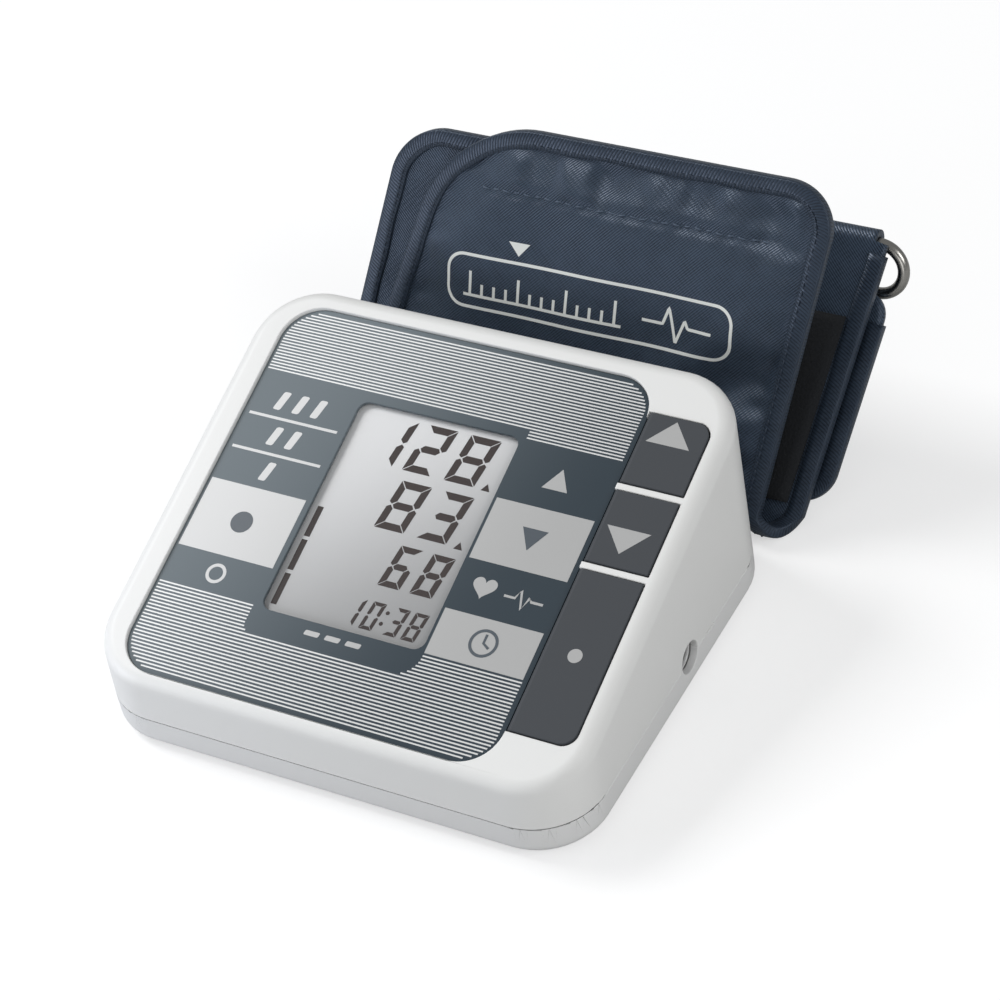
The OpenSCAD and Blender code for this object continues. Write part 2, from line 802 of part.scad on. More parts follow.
module tube(path, r, sides) {
    n = len(path);
    points = [for (i = [0 : n - 1]) each ring_points(path[i], along(path, i), r, sides)];
    walls = [for (i = [0 : n - 2], k = [0 : sides - 1])
        let (a = i * sides + k, b = i * sides + (k + 1) % sides)
        each [[a, b + sides, b], [a, a + sides, b + sides]]];
    caps = [[for (k = [0 : sides - 1]) k], [for (k = [sides - 1 : -1 : 0]) (n - 1) * sides + k]];
    polyhedron(points, concat(walls, caps));
}

// A soft tube of length h that slips over a nozzle at each end.
module pipe(h) {
    difference() {
        cylinder(r = tube_r, h = h, $fn = fine);
        translate([0, 0, -1]) cylinder(r = tube_bore_r, h = h + 2, $fn = fine);
    }
}

module pump_tube() {
    bend = pump_y0 - air_y - tube_gap - tube_r;
    x0 = manifold_x + manifold_half + tube_gap;
    color("lightyellow") placed() {
        translate([x0, air_y, socket_z]) rotate([0, 90, 0]) pipe(pump_x - bend - x0 + sliver);
        translate([pump_x - bend, air_y + bend, socket_z]) rotate([0, 0, -90])
            rotate_extrude(angle = 90, $fn = fine)
            translate([bend, 0]) difference() {
                circle(tube_r, $fn = fine);
                circle(tube_bore_r, $fn = fine);
            }
        translate([pump_x, pump_y0 - tube_gap, socket_z]) rotate([90, 0, 0]) pipe(tube_r + sliver);
    }
}

module socket_tube() {
    x0 = socket_back_x + tube_gap;
    color("lightyellow") placed() translate([x0, air_y, socket_z]) rotate([0, 90, 0])
        pipe(manifold_x - manifold_half - tube_gap - x0);
}

module sensor_tube() {
    n0 = manifold_n + 5;
    tube_wall = 0.8;
    color("lightyellow") placed() on_face() translate([manifold_x, sensor_s, n0]) difference() {
        cylinder(r = nozzle_r + tube_wall, h = sensor_n - tube_gap - n0, $fn = fine);
        translate([0, 0, -1]) cylinder(r = nozzle_r + 0.05, h = sensor_n - n0 + 2, $fn = fine);
    }
}

module air_socket() {
    flange_t = 1.6;
    flange_z = wall + 1.3;
    color("dimgray") placed() translate([socket_face_x, air_y, socket_z]) rotate([0, 90, 0]) {
        difference() {
            union() {
                cylinder(r = socket_hole_r - 0.15, h = flange_z + 0.1, $fn = fine);
                translate([0, 0, flange_z]) cylinder(r = socket_hole_r + 1.4, h = flange_t, $fn = fine);
                translate([0, 0, wall]) cylinder(r = socket_hole_r - 0.4, h = socket_len, $fn = fine);
            }
            translate([0, 0, -1]) cylinder(r = air_bore_r, h = air_bore_len + 1, $fn = fine);
        }
        translate([0, 0, wall + socket_len - 0.1]) cylinder(r = barb_r, h = barb_len + 0.1, $fn = fine);
    }
}

module power_jack() {
    x1 = case_w / 2 - wall - 1.5;
    body_len = 13;
    body_w = 9;
    barrel_r = 3;
    barrel_len = 10;
    pin_r = 1;
    pin_len = 9.5;
    color("black") placed() {
        difference() {
            translate([x1 - body_len, jack_y - body_w / 2, foot_h + wall])
                cube([body_len, body_w, socket_z + 5 - foot_h - wall]);
            translate([x1 - barrel_len, jack_y, socket_z]) rotate([0, 90, 0])
                cylinder(r = barrel_r, h = barrel_len + 2, $fn = fine);
        }
        translate([x1 - barrel_len - 0.1, jack_y, socket_z]) rotate([0, 90, 0])
            cylinder(r = pin_r, h = pin_len + 0.1, $fn = fine);
    }
}

module battery_cells() {
    button_r = 2.75;
    button_h = 1.2;
    color("steelblue") placed() for (i = [0 : cell_n - 1]) {
        flip = i % 2 == 0;
        y0 = flip ? bay_y1 - contact_t : bay_y0 + contact_t;
        translate([cell_x(i), y0, cell_z]) rotate([flip ? 90 : -90, 0, 0]) {
            cylinder(r = button_r, h = button_h + 0.2, $fn = fine);
            translate([0, 0, button_h]) cylinder(r = cell_d / 2, h = cell_l - button_h, $fn = fine);
        }
    }
}

module battery_springs() {
    steps = spring_turns * 10;
    wide_r = 5;
    draw = 2.2;
    color("silver") placed() for (i = [0 : cell_n - 1]) {
        flip = i % 2 == 0;
        y0 = flip ? bay_y0 + contact_t : bay_y1 - contact_t;
        path = [for (k = [0 : steps]) let (t = k / steps, a = 360 * spring_turns * t, r = wide_r - draw * t)
            [r * cos(a), r * sin(a), spring_wire + (spring_len - 2 * spring_wire) * t]];
        translate([cell_x(i), y0, cell_z]) rotate([flip ? -90 : 90, 0, 0]) tube(path, spring_wire, 6);
    }
}

module battery_contacts() {
    plate_w = 12;
    plate_h = 10.5;
    plate_z = cell_z - 4;
    color("silver") placed() for (y = [bay_y0, bay_y1 - contact_t], i = [0 : cell_n - 1]) {
        translate([cell_x(i) - plate_w / 2, y, plate_z]) cube([plate_w, contact_t, plate_h]);
    }
}

// A half wave over f from 0 to 1, and nothing outside.
function hump(f) = f <= 0 || f >= 1 ? 0 : sin(180 * f);

// Cuff cloth. A sheet is a list of stations [y, z, ny, nz, x_left, x_right, puff], of
// thickness t, with columns cells across. Where puff is 1 all but its outer cells swell, by
// swell_a on the side that the normals point to and by swell_b on the other.
module sheet(stations, t, columns, swell_a, swell_b) {
    n = len(stations);
    m = columns + 1;
    b = n * m;
    points = [for (sign = [1, -1], i = [0 : n - 1], j = [0 : columns])
        let (s = stations[i], f = j / columns, puff = hump((f - 1 / columns) / (1 - 2 / columns)) * s[6],
            lift = sign * t / 2 + (sign > 0 ? swell_a : -swell_b) * puff)
        [s[4] + (s[5] - s[4]) * f, s[0] + s[2] * lift, s[1] + s[3] * lift]];
    grid = [for (i = [0 : n - 2], j = [0 : columns - 1]) i * m + j];
    front = [for (a = grid) each [[a, a + m + 1, a + 1], [a, a + m, a + m + 1]]];
    rear = [for (a = grid) each [[b + a, b + a + 1, b + a + m + 1], [b + a, b + a + m + 1, b + a + m]]];
    left = [for (i = [0 : n - 2]) let (a = i * m) each [[a, b + a + m, a + m], [a, b + a, b + a + m]]];
    right = [for (i = [0 : n - 2]) let (a = i * m + columns)
        each [[a, a + m, b + a + m], [a, b + a + m, b + a]]];
    first = [for (j = [0 : columns - 1]) each [[j, j + 1, b + j + 1], [j, b + j + 1, b + j]]];
    last = [for (j = [0 : columns - 1]) let (a = (n - 1) * m + j)
        each [[a, b + a + 1, a + 1], [a, b + a, b + a + 1]]];
    polyhedron(points, concat(front, rear, left, right, first, last));
}

// How far a round corner of radius r draws the side in, at height u of a sheet that ends at top.
function corner_cut(u, top, r) = u < top - r ? 0 : r - sqrt(max(r * r - pow(u - top + r, 2), 0));
// Heights up a sheet from start to top: even ones, then closer ones through its corners.
function heights(start, top, r, count) = concat(
    [for (k = [0 : count]) start + k * (top - r - start) / count],
    [for (a = [15 : 15 : 75]) top - r + r * sin(a)], [top]);
function tail_left_x(u) = tail_right - tail_w + tail_shear_l * u;
function tail_right_x(u) = tail_right + tail_shear_r * u;
function back_right_x(u) = back_right + cuff_shear * u;
function back_left_x(u) = back_right_x(u) - cuff_w;
function under_left_x(u) = tail_right - tail_w - under_left + under_slant * u;
function under_right_x(u) = tail_right_x(u) - under_right;
function rear_left_x(u) = back_left_x(u) + rear_left;
function rear_right_x(u) = back_right_x(u) + rear_right;
function fold_angle(f) = 180 - tail_lean + f * (180 + tail_lean - back_lean);
function mix(a, b, f) = a + (b - a) * f;
function reversed(list) = [for (k = [len(list) - 1 : -1 : 0]) list[k]];

tail_heights = heights(0, tail_len, tail_corner_l, 6);
tail_stations = [for (u = reversed(tail_heights)) let (p = tail_point(u), q = tail_normal())
    [p[0], p[1], q[0], q[1], tail_left_x(u) + corner_cut(u, tail_len, tail_corner_l),
        tail_right_x(u) - corner_cut(u, tail_len, tail_corner_r), 0]];
fold_stations = [for (k = [1 : 7]) let (f = k / 8, a = fold_angle(f))
    [fold_y + fold_r * cos(a), fold_z + fold_r * sin(a), cos(a), sin(a),
        mix(tail_left_x(0), back_left_x(0), f), mix(tail_right, back_right, f), 0]];
back_stations = [for (k = [0 : 6]) let (u = k * back_len / 6, p = back_point(u), q = back_normal())
    [p[0], p[1], q[0], q[1], back_left_x(u), back_right_x(u), 0]];

// A hem turns over a bar at height u, whose middle is n behind the back, then hangs by leg.
function hem_stations(u, n, x0, x1, leg) = concat(
    [for (b = [150 : -30 : 0]) let (p = behind(u + hem_r * sin(b), n + hem_r * cos(b)),
        q = -sin(b) * [sin(back_lean), cos(back_lean)] - cos(b) * back_normal())
        [p[0], p[1], q[0], q[1], x0, x1, 0]],
    [let (p = behind(u - leg, n + hem_r), q = -back_normal()) [p[0], p[1], q[0], q[1], x0, x1, 0]]);

// A flat sheet n behind the tail, or n behind the back, between heights u0 and u1.
function tail_layer(n, list) = [for (e = list) let (p = tail_point(e[0]) - n * tail_normal(),
    q = tail_normal())
    [p[0], p[1], q[0], q[1], e[1], e[2], 0]];
function back_layer(n, list) = [for (e = list) let (p = behind(e[0], n), q = back_normal())
    [p[0], p[1], q[0], q[1], e[1], e[2], e[3]]];

module cuff_strip() {
    color("darkslateblue") placed()
        sheet(reversed(concat(tail_stations, fold_stations, back_stations,
            hem_stations(back_len, hem_r, ring_x0 + layer_gap, ring_x1 - layer_gap, 1))), cloth_t, 12, 0,
                0);
}

module cuff_underflap() {
    list = [for (u = heights(under_foot, under_len, under_corner, 5))
        let (cut = corner_cut(u, under_len, under_corner))
            [u, under_left_x(u) + cut, under_right_x(u) - cut]];
    color("darkslateblue") placed() sheet(tail_layer(under_n, list), under_t, 8, 0, 0);
}

module hook_patch() {
    left = 24;
    right = 14;
    list = [for (u = [tail_len - 50, tail_len - 30, tail_len - 10])
        [u, tail_left_x(u) + left, tail_right_x(u) - right]];
    color("black") placed() sheet(tail_layer(hook_n, list), hook_t, 3, 0, 0);
}

module loop_patch() {
    inset = 5;
    n = -cloth_t / 2 - tape_gap - loop_t / 2;
    list = [for (u = [3, back_len / 3, back_len - 20]) [u, back_left_x(u) + inset, back_right_x(u) - 4.5, 0]];
    color("black") placed() sheet(reversed(back_layer(n, list)), loop_t, 3, 0, 0);
}

module cuff_bladder() {
    left = 12;
    right = 10;
    list = [for (k = [0 : 8]) let (u = mix(bladder_foot, ring_foot_u - 10, k / 8))
        [u, back_left_x(u) + left, back_right_x(u) - right, hump(k / 8)]];
    color("dimgray") placed()
        sheet(reversed(back_layer(bladder_n, list)), bladder_t, 10, rear_swell - 0.2, 0);
}

module cuff_back() {
    flat_foot = rear_foot + rear_corner;
    flat_top = ring_foot_u - rear_draw;
    foot_heights = [for (a = [90 : -15 : 15]) flat_foot - rear_corner * sin(a)];
    list = [for (u = concat(foot_heights, heights(flat_foot, ring_foot_u, rear_draw, 5)))
        let (cut = corner_cut(u, ring_foot_u, rear_draw) + corner_cut(-u, -rear_foot, rear_corner))
        [u, rear_left_x(u) + cut, rear_right_x(u) - cut, hump((u - flat_foot) / (flat_top - flat_foot))]];
    top = list[len(list) - 1];
    color("darkslateblue") placed() sheet(reversed(concat(back_layer(rear_n, list),
        hem_stations(ring_foot_u, rear_n + hem_r, top[1], top[2], 8))),
        cloth_t, 10, rear_swell, -rear_swell);
}

// Binding tape, folded over an edge. A stop is [point, outward, normal]: a point on the
// edge, the direction out of the cloth along it, and the cloth's normal. The section is
// given as distances outward and along the normal, for cloth of thickness t.
function tape_section(t) = let (i = t / 2 + tape_gap, o = i + tape_t, e = tape_gap, f = tape_gap + tape_t)
    [[-tape_w, i], [e, i], [e, -i], [-tape_w, -i], [-tape_w, -o], [f - 0.4, -o],
        [f, 0.4 - o], [f, o - 0.4], [f - 0.4, o],
        [-tape_w, o]];

module tape(stops, t) {
    section = tape_section(t);
    m = len(section);
    n = len(stops);
    points = [for (e = stops, q = section) e[0] + q[0] * e[1] + q[1] * e[2]];
    walls = [for (i = [0 : n - 2], k = [0 : m - 1]) let (a = i * m + k, b = i * m + (k + 1) % m)
        each [[a, b + m, b], [a, a + m, b + m]]];
    cap = [[0, 1, 8], [0, 8, 9], [1, 7, 8], [1, 2, 7], [2, 6, 7], [2, 5, 6], [2, 3, 5], [3, 4, 5]];
    first = [for (f = cap) [f[0], f[1], f[2]]];
    last = [for (f = cap) [f[2], f[1], f[0]] + [1, 1, 1] * (n - 1) * m];
    polyhedron(points, concat(walls, first, last));
}

// Stops along a flat cloth, as [x, u, outward in x, outward in u]. sign is -1 on the left,
// way is 1 at the top and -1 at the foot, and slant is how far an edge moves in x per u.
function side_stops(sign, x0, slant, us) = [for (u = us) let (size = norm([1, slant]))
    [x0 + slant * u, u, sign / size, -sign * slant / size]];
function corner_stops(sign, way, x0, slant, end, r, angles) = [for (a = angles)
    let (u = end - way * r * (1 - sin(a)), o = [sign * cos(a), way * sin(a) - sign * slant * cos(a)])
    [x0 + slant * u - sign * r * (1 - cos(a)), u, o[0] / norm(o), o[1] / norm(o)]];
function on_tail(list, n) = [for (e = list) let (p = tail_point(e[1]) - n * tail_normal(),
    q = tail_normal())
    [[e[0], p[0], p[1]], [e[2], e[3] * sin(tail_lean), e[3] * cos(tail_lean)], [0, q[0], q[1]]]];
function on_back(list, n) = [for (e = list) let (p = behind(e[1], n), q = back_normal())
    [[e[0], p[0], p[1]], [e[2], e[3] * sin(back_lean), e[3] * cos(back_lean)], [0, q[0], q[1]]]];
function on_fold(sign, order) = [for (k = order) let (f = k / 8, a = fold_angle(f))
    [[sign < 0 ? mix(tail_left_x(0), back_left_x(0), f) : mix(tail_right, back_right, f),
        fold_y + fold_r * cos(a), fold_z + fold_r * sin(a)], [sign, 0, 0], [0, cos(a), sin(a)]]];
rise = [0 : 15 : 90];
fall = [90 : -15 : 0];

module cuff_binding() {
    strip_top = back_len - 3;
    tail_straight = tail_len - tail_corner_l;
    under_straight = under_len - under_corner;
    rear_top = ring_foot_u - rear_draw - 1;
    color("midnightblue") placed() {
        // Round the strip: down the back's left side, up and over the tail, up the right side.
        tape(concat(
            on_back(side_stops(-1, back_right - cuff_w, cuff_shear, [strip_top, strip_top / 2, 0]), 0),
            on_fold(-1, [7 : -1 : 1]),
            on_tail(concat(
                side_stops(-1, tail_right - tail_w, tail_shear_l,
                    [0, tail_straight / 3, tail_straight * 2 / 3]),
                corner_stops(-1, 1, tail_right - tail_w, tail_shear_l, tail_len, tail_corner_l, rise),
                corner_stops(1, 1, tail_right, tail_shear_r, tail_len, tail_corner_r, fall),
                side_stops(1, tail_right, tail_shear_r, [tail_straight * 2 / 3, tail_straight / 3, 0])), 0),
            on_fold(1, [1 : 7]),
            on_back(side_stops(1, back_right, cuff_shear, [0, strip_top / 2, strip_top]), 0)), cloth_t);
        // Over the second flap.
        tape(on_tail(concat(side_stops(-1, under_left_x(0), under_slant, [under_foot, under_straight / 2]),
            corner_stops(-1, 1, under_left_x(0), under_slant, under_len, under_corner, rise),
            corner_stops(1, 1, under_right_x(0), tail_shear_r, under_len, under_corner, fall),
            side_stops(1, under_right_x(0), tail_shear_r, [under_straight / 2, under_foot])),
            under_n), under_t);
        // Under the rear cloth.
        tape(on_back(concat(side_stops(-1, rear_left_x(0), cuff_shear, [rear_top, rear_top / 2]),
            corner_stops(-1, -1, rear_left_x(0), cuff_shear, rear_foot, rear_corner, rise),
            corner_stops(1, -1, rear_right_x(0), cuff_shear, rear_foot, rear_corner, fall),
            side_stops(1, rear_right_x(0), cuff_shear, [rear_top / 2, rear_top])), rear_n), cloth_t);
    }
}

module d_ring() {
    top = behind(back_len, hem_r);
    color("silver") placed() translate([0, top[0], top[1]]) rotate([ring_turn - back_lean, 0, 0]) {
        for (z = [0, -ring_drop]) {
            translate([ring_x0, 0, z]) rotate([0, 90, 0])
                cylinder(r = ring_wire / 2, h = ring_x1 - ring_x0, $fn = fine);
        }
        for (e = [[ring_x0, 90], [ring_x1, -90]]) {
            translate([e[0], 0, -ring_end_r]) rotate([90, 0, 0]) rotate([0, 0, e[1]])
                rotate_extrude(angle = 180, $fn = fine) translate([ring_end_r, 0])
                    circle(ring_wire / 2, $fn = fine);
        }
    }
}

module cuff_air_port() {
    u = 22;
    disc_r = 7;
    disc_t = 1.4;
    neck_r = 3;
    neck_h = 9;
    bore_r = 1.6;
    p = behind(u, rear_n + cloth_t / 2 + 1.3);
    color("dimgray") placed() translate([back_left_x(u) + 18, p[0], p[1]]) rotate([-90 - back_lean, 0, 0])
        difference() {
            union() {
                cylinder(r = disc_r, h = disc_t, $fn = fine);
                cylinder(r = neck_r, h = neck_h, $fn = fine);
            }
            translate([0, 0, 2]) cylinder(r = bore_r, h = neck_h - 1, $fn = fine);
        }
}

top_case();
bottom_case();
battery_cover();
rubber_feet();
case_screws();
face_panel();
display_window();
lcd_glass();
lcd_holder();
lcd_connectors();
memory_key();
set_key();
start_key();
key_switches();
main_board();
board_screws();
control_chip();
buzzer();
pressure_sensor();
pump_motor();
pump_head();
pump_cradle();
exhaust_valve();
bleed_valve();
air_manifold();
pump_tube();
socket_tube();
sensor_tube();
air_socket();
power_jack();
battery_cells();
battery_springs();
battery_contacts();
cuff_strip();
cuff_underflap();
cuff_bladder();
cuff_back();
cuff_binding();
d_ring();
hook_patch();
loop_patch();
cuff_air_port();
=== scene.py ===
# %% [markdown]
# # An arm-in blood pressure monitor
#
# The object is a small desk instrument: a white moulded wedge with a sloped face, a printed
# panel round a segment display, three grey keys, and a navy nylon cuff folded behind it.
# The construction comes from CAD, and stays where CAD put it. This script gives it the looks:
# softened moulding edges, the printed film, the display's digits, and the cloth with its
# binding, stitches and ripples.
#
# Every size below is in millimetres in the case's own frame: x from the case's middle to the
# right, y from the front wall to the back, z up from the table. One function turns them into
# metres in the shared frame.

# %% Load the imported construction
import math
import bmesh
import bpy
import numpy as np
from mathutils import Matrix, Vector

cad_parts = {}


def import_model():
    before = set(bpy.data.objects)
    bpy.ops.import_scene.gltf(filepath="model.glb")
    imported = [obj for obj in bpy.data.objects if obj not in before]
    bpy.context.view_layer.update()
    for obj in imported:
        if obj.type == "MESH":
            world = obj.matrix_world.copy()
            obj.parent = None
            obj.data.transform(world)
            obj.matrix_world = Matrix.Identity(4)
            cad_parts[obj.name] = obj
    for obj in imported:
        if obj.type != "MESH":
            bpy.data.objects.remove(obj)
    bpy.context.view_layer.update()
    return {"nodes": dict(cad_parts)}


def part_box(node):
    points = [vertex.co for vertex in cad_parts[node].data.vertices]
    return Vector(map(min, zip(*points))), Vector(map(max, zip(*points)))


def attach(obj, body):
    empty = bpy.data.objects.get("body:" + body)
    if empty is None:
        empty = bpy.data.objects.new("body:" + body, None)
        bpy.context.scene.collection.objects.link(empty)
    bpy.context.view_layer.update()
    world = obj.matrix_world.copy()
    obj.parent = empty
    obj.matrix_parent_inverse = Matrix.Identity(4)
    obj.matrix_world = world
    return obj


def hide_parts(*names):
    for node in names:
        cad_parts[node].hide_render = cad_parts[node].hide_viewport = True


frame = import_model()

# %% One frame for the case, one for its sloped face
MM = 0.001
case_low, case_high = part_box("top_case")
ORIGIN = np.array([(case_low.x + case_high.x) / 2, case_low.y, 0.0])
TILT = math.radians(18)
FACE_Z = 23.0


def world(points):
    """Case millimetres to metres in the shared frame: p / 1000 + origin."""
    return np.asarray(points, float) * MM + ORIGIN


def face(x, s, n):
    """A point on the sloped face: x across, s up the slope, n out of it.
    y = s cos 18 - n sin 18, z = 23 + s sin 18 + n cos 18."""
    x, s, n = np.broadcast_arrays(np.asarray(x, float), s, n)
    y = s * math.cos(TILT) - n * math.sin(TILT)
    z = FACE_Z + s * math.sin(TILT) + n * math.cos(TILT)
    return world(np.stack([x, y, z], axis=-1))


def face_height(node):
    """Lowest and highest n of a CAD node: n = -y sin 18 + (z - 23) cos 18."""
    mesh = frame["nodes"][node].data
    co = np.empty(len(mesh.vertices) * 3)
    mesh.vertices.foreach_get("co", co)
    p = (co.reshape(-1, 3) - ORIGIN) / MM
    n = -p[:, 1] * math.sin(TILT) + (p[:, 2] - FACE_Z) * math.cos(TILT)
    return n.min(), n.max()


PANEL_N = face_height("face_panel")[1]
GLASS_N = face_height("lcd_glass")[1]
KEY_N = face_height("memory_key")[1]
print("panel, display and keys lie at n =", round(PANEL_N, 2), round(GLASS_N, 2), round(KEY_N, 2))

# %% [markdown]
# ## Making a mesh from arrays
#
# Every new piece is a surface written as a formula over a grid. One function takes the points
# and the faces as arrays, turns the piece right side out by its signed volume, and hangs it on
# the body that it moves with.

# %% Mesh helpers


def volume(vertices, faces):
    """Signed volume: a sum of a . (b x c) / 6 over a fan of triangles in each face."""
    total = 0.0
    for block in faces:
        for k in range(1, block.shape[1] - 1):
            a, b, c = (vertices[block[:, i]] for i in (0, k, k + 1))
            total += np.einsum("ij,ij->", a, np.cross(b, c)) / 6
    return total


def put(name, data):
    """A new object with this data, in the scene."""
    made = bpy.data.objects.new(name, data)
    bpy.context.scene.collection.objects.link(made)
    return made


def piece(name, vertices, faces, body, material, smooth=True, uv=None):
    """A closed mesh that rides on a body. faces is a list of (count, corners) arrays, and uv
    one (u, v) for each vertex."""
    centre = vertices.mean(axis=0)
    if volume(vertices - centre, faces) < 0:
        faces = [block[:, ::-1] for block in faces]
    loops = np.concatenate([block.ravel() for block in faces]).astype(np.int32)
    sizes = np.concatenate([np.full(len(b), b.shape[1]) for b in faces]).astype(np.int32)
    starts = np.concatenate([[0], np.cumsum(sizes)[:-1]]).astype(np.int32)
    mesh = bpy.data.meshes.new(name)
    mesh.vertices.add(len(vertices))
    mesh.vertices.foreach_set("co", vertices.astype(np.float32).ravel())
    mesh.loops.add(len(loops))
    mesh.loops.foreach_set("vertex_index", loops)
    mesh.polygons.add(len(sizes))
    mesh.polygons.foreach_set("loop_start", starts)
    mesh.polygons.foreach_set("loop_total", sizes)
    mesh.polygons.foreach_set("use_smooth", np.full(len(sizes), smooth))
    mesh.update(calc_edges=True)
    mesh.validate()
    if uv is not None:
        layer = mesh.uv_layers.new(name="cloth")
        layer.data.foreach_set("uv", np.asarray(uv, np.float32)[loops].ravel())
    mesh.materials.append(material)
    made = put(name, mesh)
    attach(made, body)
    return made


def grid_faces(rows, columns, wrap_rows=False, wrap_columns=False):
    """Quads of a rows x columns grid of vertices."""
    i = np.arange(rows if wrap_rows else rows - 1)
    j = np.arange(columns if wrap_columns else columns - 1)
    a, b = np.meshgrid(i, j, indexing="ij")
    c, d = (a + 1) % rows, (b + 1) % columns
    quads = [a * columns + b, c * columns + b, c * columns + d, a * columns + d]
    return np.stack(quads, -1).reshape(-1, 4)


def sweep(rings, closed=False):
    """Vertices and faces of a tube through rings (count, corners, 3), capped unless closed."""
    count, corners = rings.shape[:2]
    faces = [grid_faces(count, corners, wrap_rows=closed, wrap_columns=True)]
    if not closed:
        ends = np.arange(corners)
        faces.append(np.stack([ends, ends[::-1] + (count - 1) * corners]))
    return rings.reshape(-1, 3), faces


def join(parts):
    """Several (vertices, faces) as one."""
    vertices, faces, start = [], [], 0
    for v, f in parts:
        sign = 1 if volume(v - v.mean(axis=0), f) > 0 else -1
        faces += [block[:, ::sign] + start for block in f]
        vertices.append(v)
        start += len(v)
    return np.concatenate(vertices), faces


def prism(outline, place, low, high):
    """A thin slab with a given outline (count, 2), from height low to height high."""
    outline = np.asarray(outline, float)
    rings = np.stack([place(*outline.T, h) for h in (low, high)])
    k = np.arange(len(outline))
    walls = grid_faces(2, len(k), wrap_columns=True)
    return rings.reshape(-1, 3), [walls, k[None, ::-1], k[None] + len(k)]


def stroke(line, width, place, low, high, closed=False):
    """A ribbon of a given width along a line (count, 2): its two sides lie width / 2 from the
    line, along the mean normal at each point."""
    line = np.asarray(line, float)
    if closed:
        ahead, behind = np.roll(line, -1, axis=0), np.roll(line, 1, axis=0)
    else:
        ahead, behind = np.vstack([line[1:], line[-1:]]), np.vstack([line[:1], line[:-1]])
    along = ahead - behind
    along /= np.linalg.norm(along, axis=1, keepdims=True)
    side = np.stack([-along[:, 1], along[:, 0]], axis=1) * width / 2
    left, right = line + side, line - side
    section = ((left, high), (right, high), (right, low), (left, low))
    ring = [place(*edge.T, h) for edge, h in section]
    return sweep(np.stack(ring, axis=1), closed)


def rounded(x0, s0, x1, s1, radii=(0, 0, 0, 0), steps=8):
    """Outline of a rectangle with corner radii (low left, low right, top right, top left)."""
    corners = [(x0, s0, 1, 1, 180), (x1, s0, -1, 1, 270), (x1, s1, -1, -1, 0), (x0, s1, 1, -1, 90)]
    out = []
    for (x, s, sx, ss, start), r in zip(corners, radii):
        a = np.radians(start + np.linspace(0, 90, steps if r > 0 else 1))
        out.append(np.stack([x + sx * r + r * np.cos(a), s + ss * r + r * np.sin(a)], axis=1))
    return np.concatenate(out)


def travelled(points):
    """Distance along a polyline up to each of its points."""
    steps = np.linalg.norm(np.diff(points, axis=0), axis=1)
    return np.concatenate([[0], np.cumsum(steps)])


def resample(line, step):
    """The same polyline with a point at least every step."""
    line = np.asarray(line, float)
    length = travelled(line)
    t = np.linspace(0, length[-1], max(int(length[-1] / step), 1) + 1)
    return np.stack([np.interp(t, length, line[:, k]) for k in (0, 1)], axis=1)


# %% [markdown]
# ## Finishes
#
# Each finish is a small node tree named for the real material and process. Colours are written
# as they look on a screen and turned to linear light by one function.

# %% Shader helpers


def colour(code):
    """Screen hex to linear RGBA: c / 12.92 up to 0.04045, else ((c + 0.055) / 1.055) ^ 2.4."""
    c = np.array([int(code[i:i + 2], 16) for i in (1, 3, 5)]) / 255
    return (*np.where(c <= 0.04045, c / 12.92, ((c + 0.055) / 1.055) ** 2.4).tolist(), 1.0)


def add(tree, kind, inputs=None, **settings):
    """Adds a shader node. inputs maps an input's name or number to a value or to another
    node's output; settings are the node's own fields."""
    node = tree.nodes.new("ShaderNode" + kind)
    for key, value in settings.items():
        setattr(node, key, value)
    for key, value in (inputs or {}).items():
        if isinstance(value, bpy.types.NodeSocket):
            tree.links.new(value, node.inputs[key])
        else:
            node.inputs[key].default_value = value
    return node


def maths(tree, operation, *values, **settings):
    """Output of a Math node with these values."""
    return add(tree, "Math", dict(enumerate(values)), operation=operation, **settings).outputs[0]


def emptied(owner):
    """The node tree of a material or a world, with nothing in it."""
    owner.use_nodes = True
    owner.node_tree.nodes.clear()
    return owner.node_tree


def finish(name, base, roughness, level=0.5, **more):
    """A Principled finish with plain values; level is its Specular IOR Level. Returns the
    material, its tree and its shader."""
    material = bpy.data.materials.new(name)
    tree = emptied(material)
    shader = add(tree, "BsdfPrincipled", {
        "Base Color": colour(base), "Roughness": roughness, "Specular IOR Level": level, **more})
    add(tree, "OutputMaterial", {"Surface": shader.outputs[0]})
    return material, tree, shader


def grain(tree, shader, scale, strength=1.0, distance=0.00002, detail=2.0):
    """A fine uneven surface: noise at so many cells a metre, of a given height in metres."""
    place = add(tree, "TexCoord")
    noise = add(tree, "TexNoise", {
        "Vector": place.outputs["Object"], "Scale": scale, "Detail": detail})
    bump = add(tree, "Bump", {
        "Height": noise.outputs[0], "Distance": distance, "Strength": strength})
    tree.links.new(bump.outputs[0], shader.inputs["Normal"])


def painted_shade_ramp(tree, shader, fall, first, last):
    """Painted shade: a base colour that changes over the face from first to last, as light
    that falls off over the face would. The ramp's place is x a + s b + c, clamped, with
    (a, b, c) in fall."""
    x_weight, s_weight, offset = fall
    place = add(tree, "TexCoord")
    direction = (x_weight / MM, s_weight * math.cos(TILT) / MM, s_weight * math.sin(TILT) / MM)
    shift = offset - float(np.dot(direction, ORIGIN)) - s_weight * FACE_Z * math.sin(TILT)
    dot = add(tree, "VectorMath", {0: place.outputs["Object"], 1: direction},
              operation="DOT_PRODUCT")
    total = maths(tree, "ADD", dot.outputs["Value"], shift, use_clamp=True)
    ramp = add(tree, "ValToRGB", {0: total})
    ramp.color_ramp.interpolation = "EASE"
    for element, code in zip(ramp.color_ramp.elements, (first, last)):
        element.color = colour(code)
    tree.links.new(ramp.outputs[0], shader.inputs["Base Color"])


# %% Plastics
# How painted shade darkens the film and its inks over the face, and the display as well.
PRINT_PAINTED_SHADE, DISPLAY_PAINTED_SHADE = (0.0092, -0.0032, 0.846), (0.0078, -0.0105, 1.2)

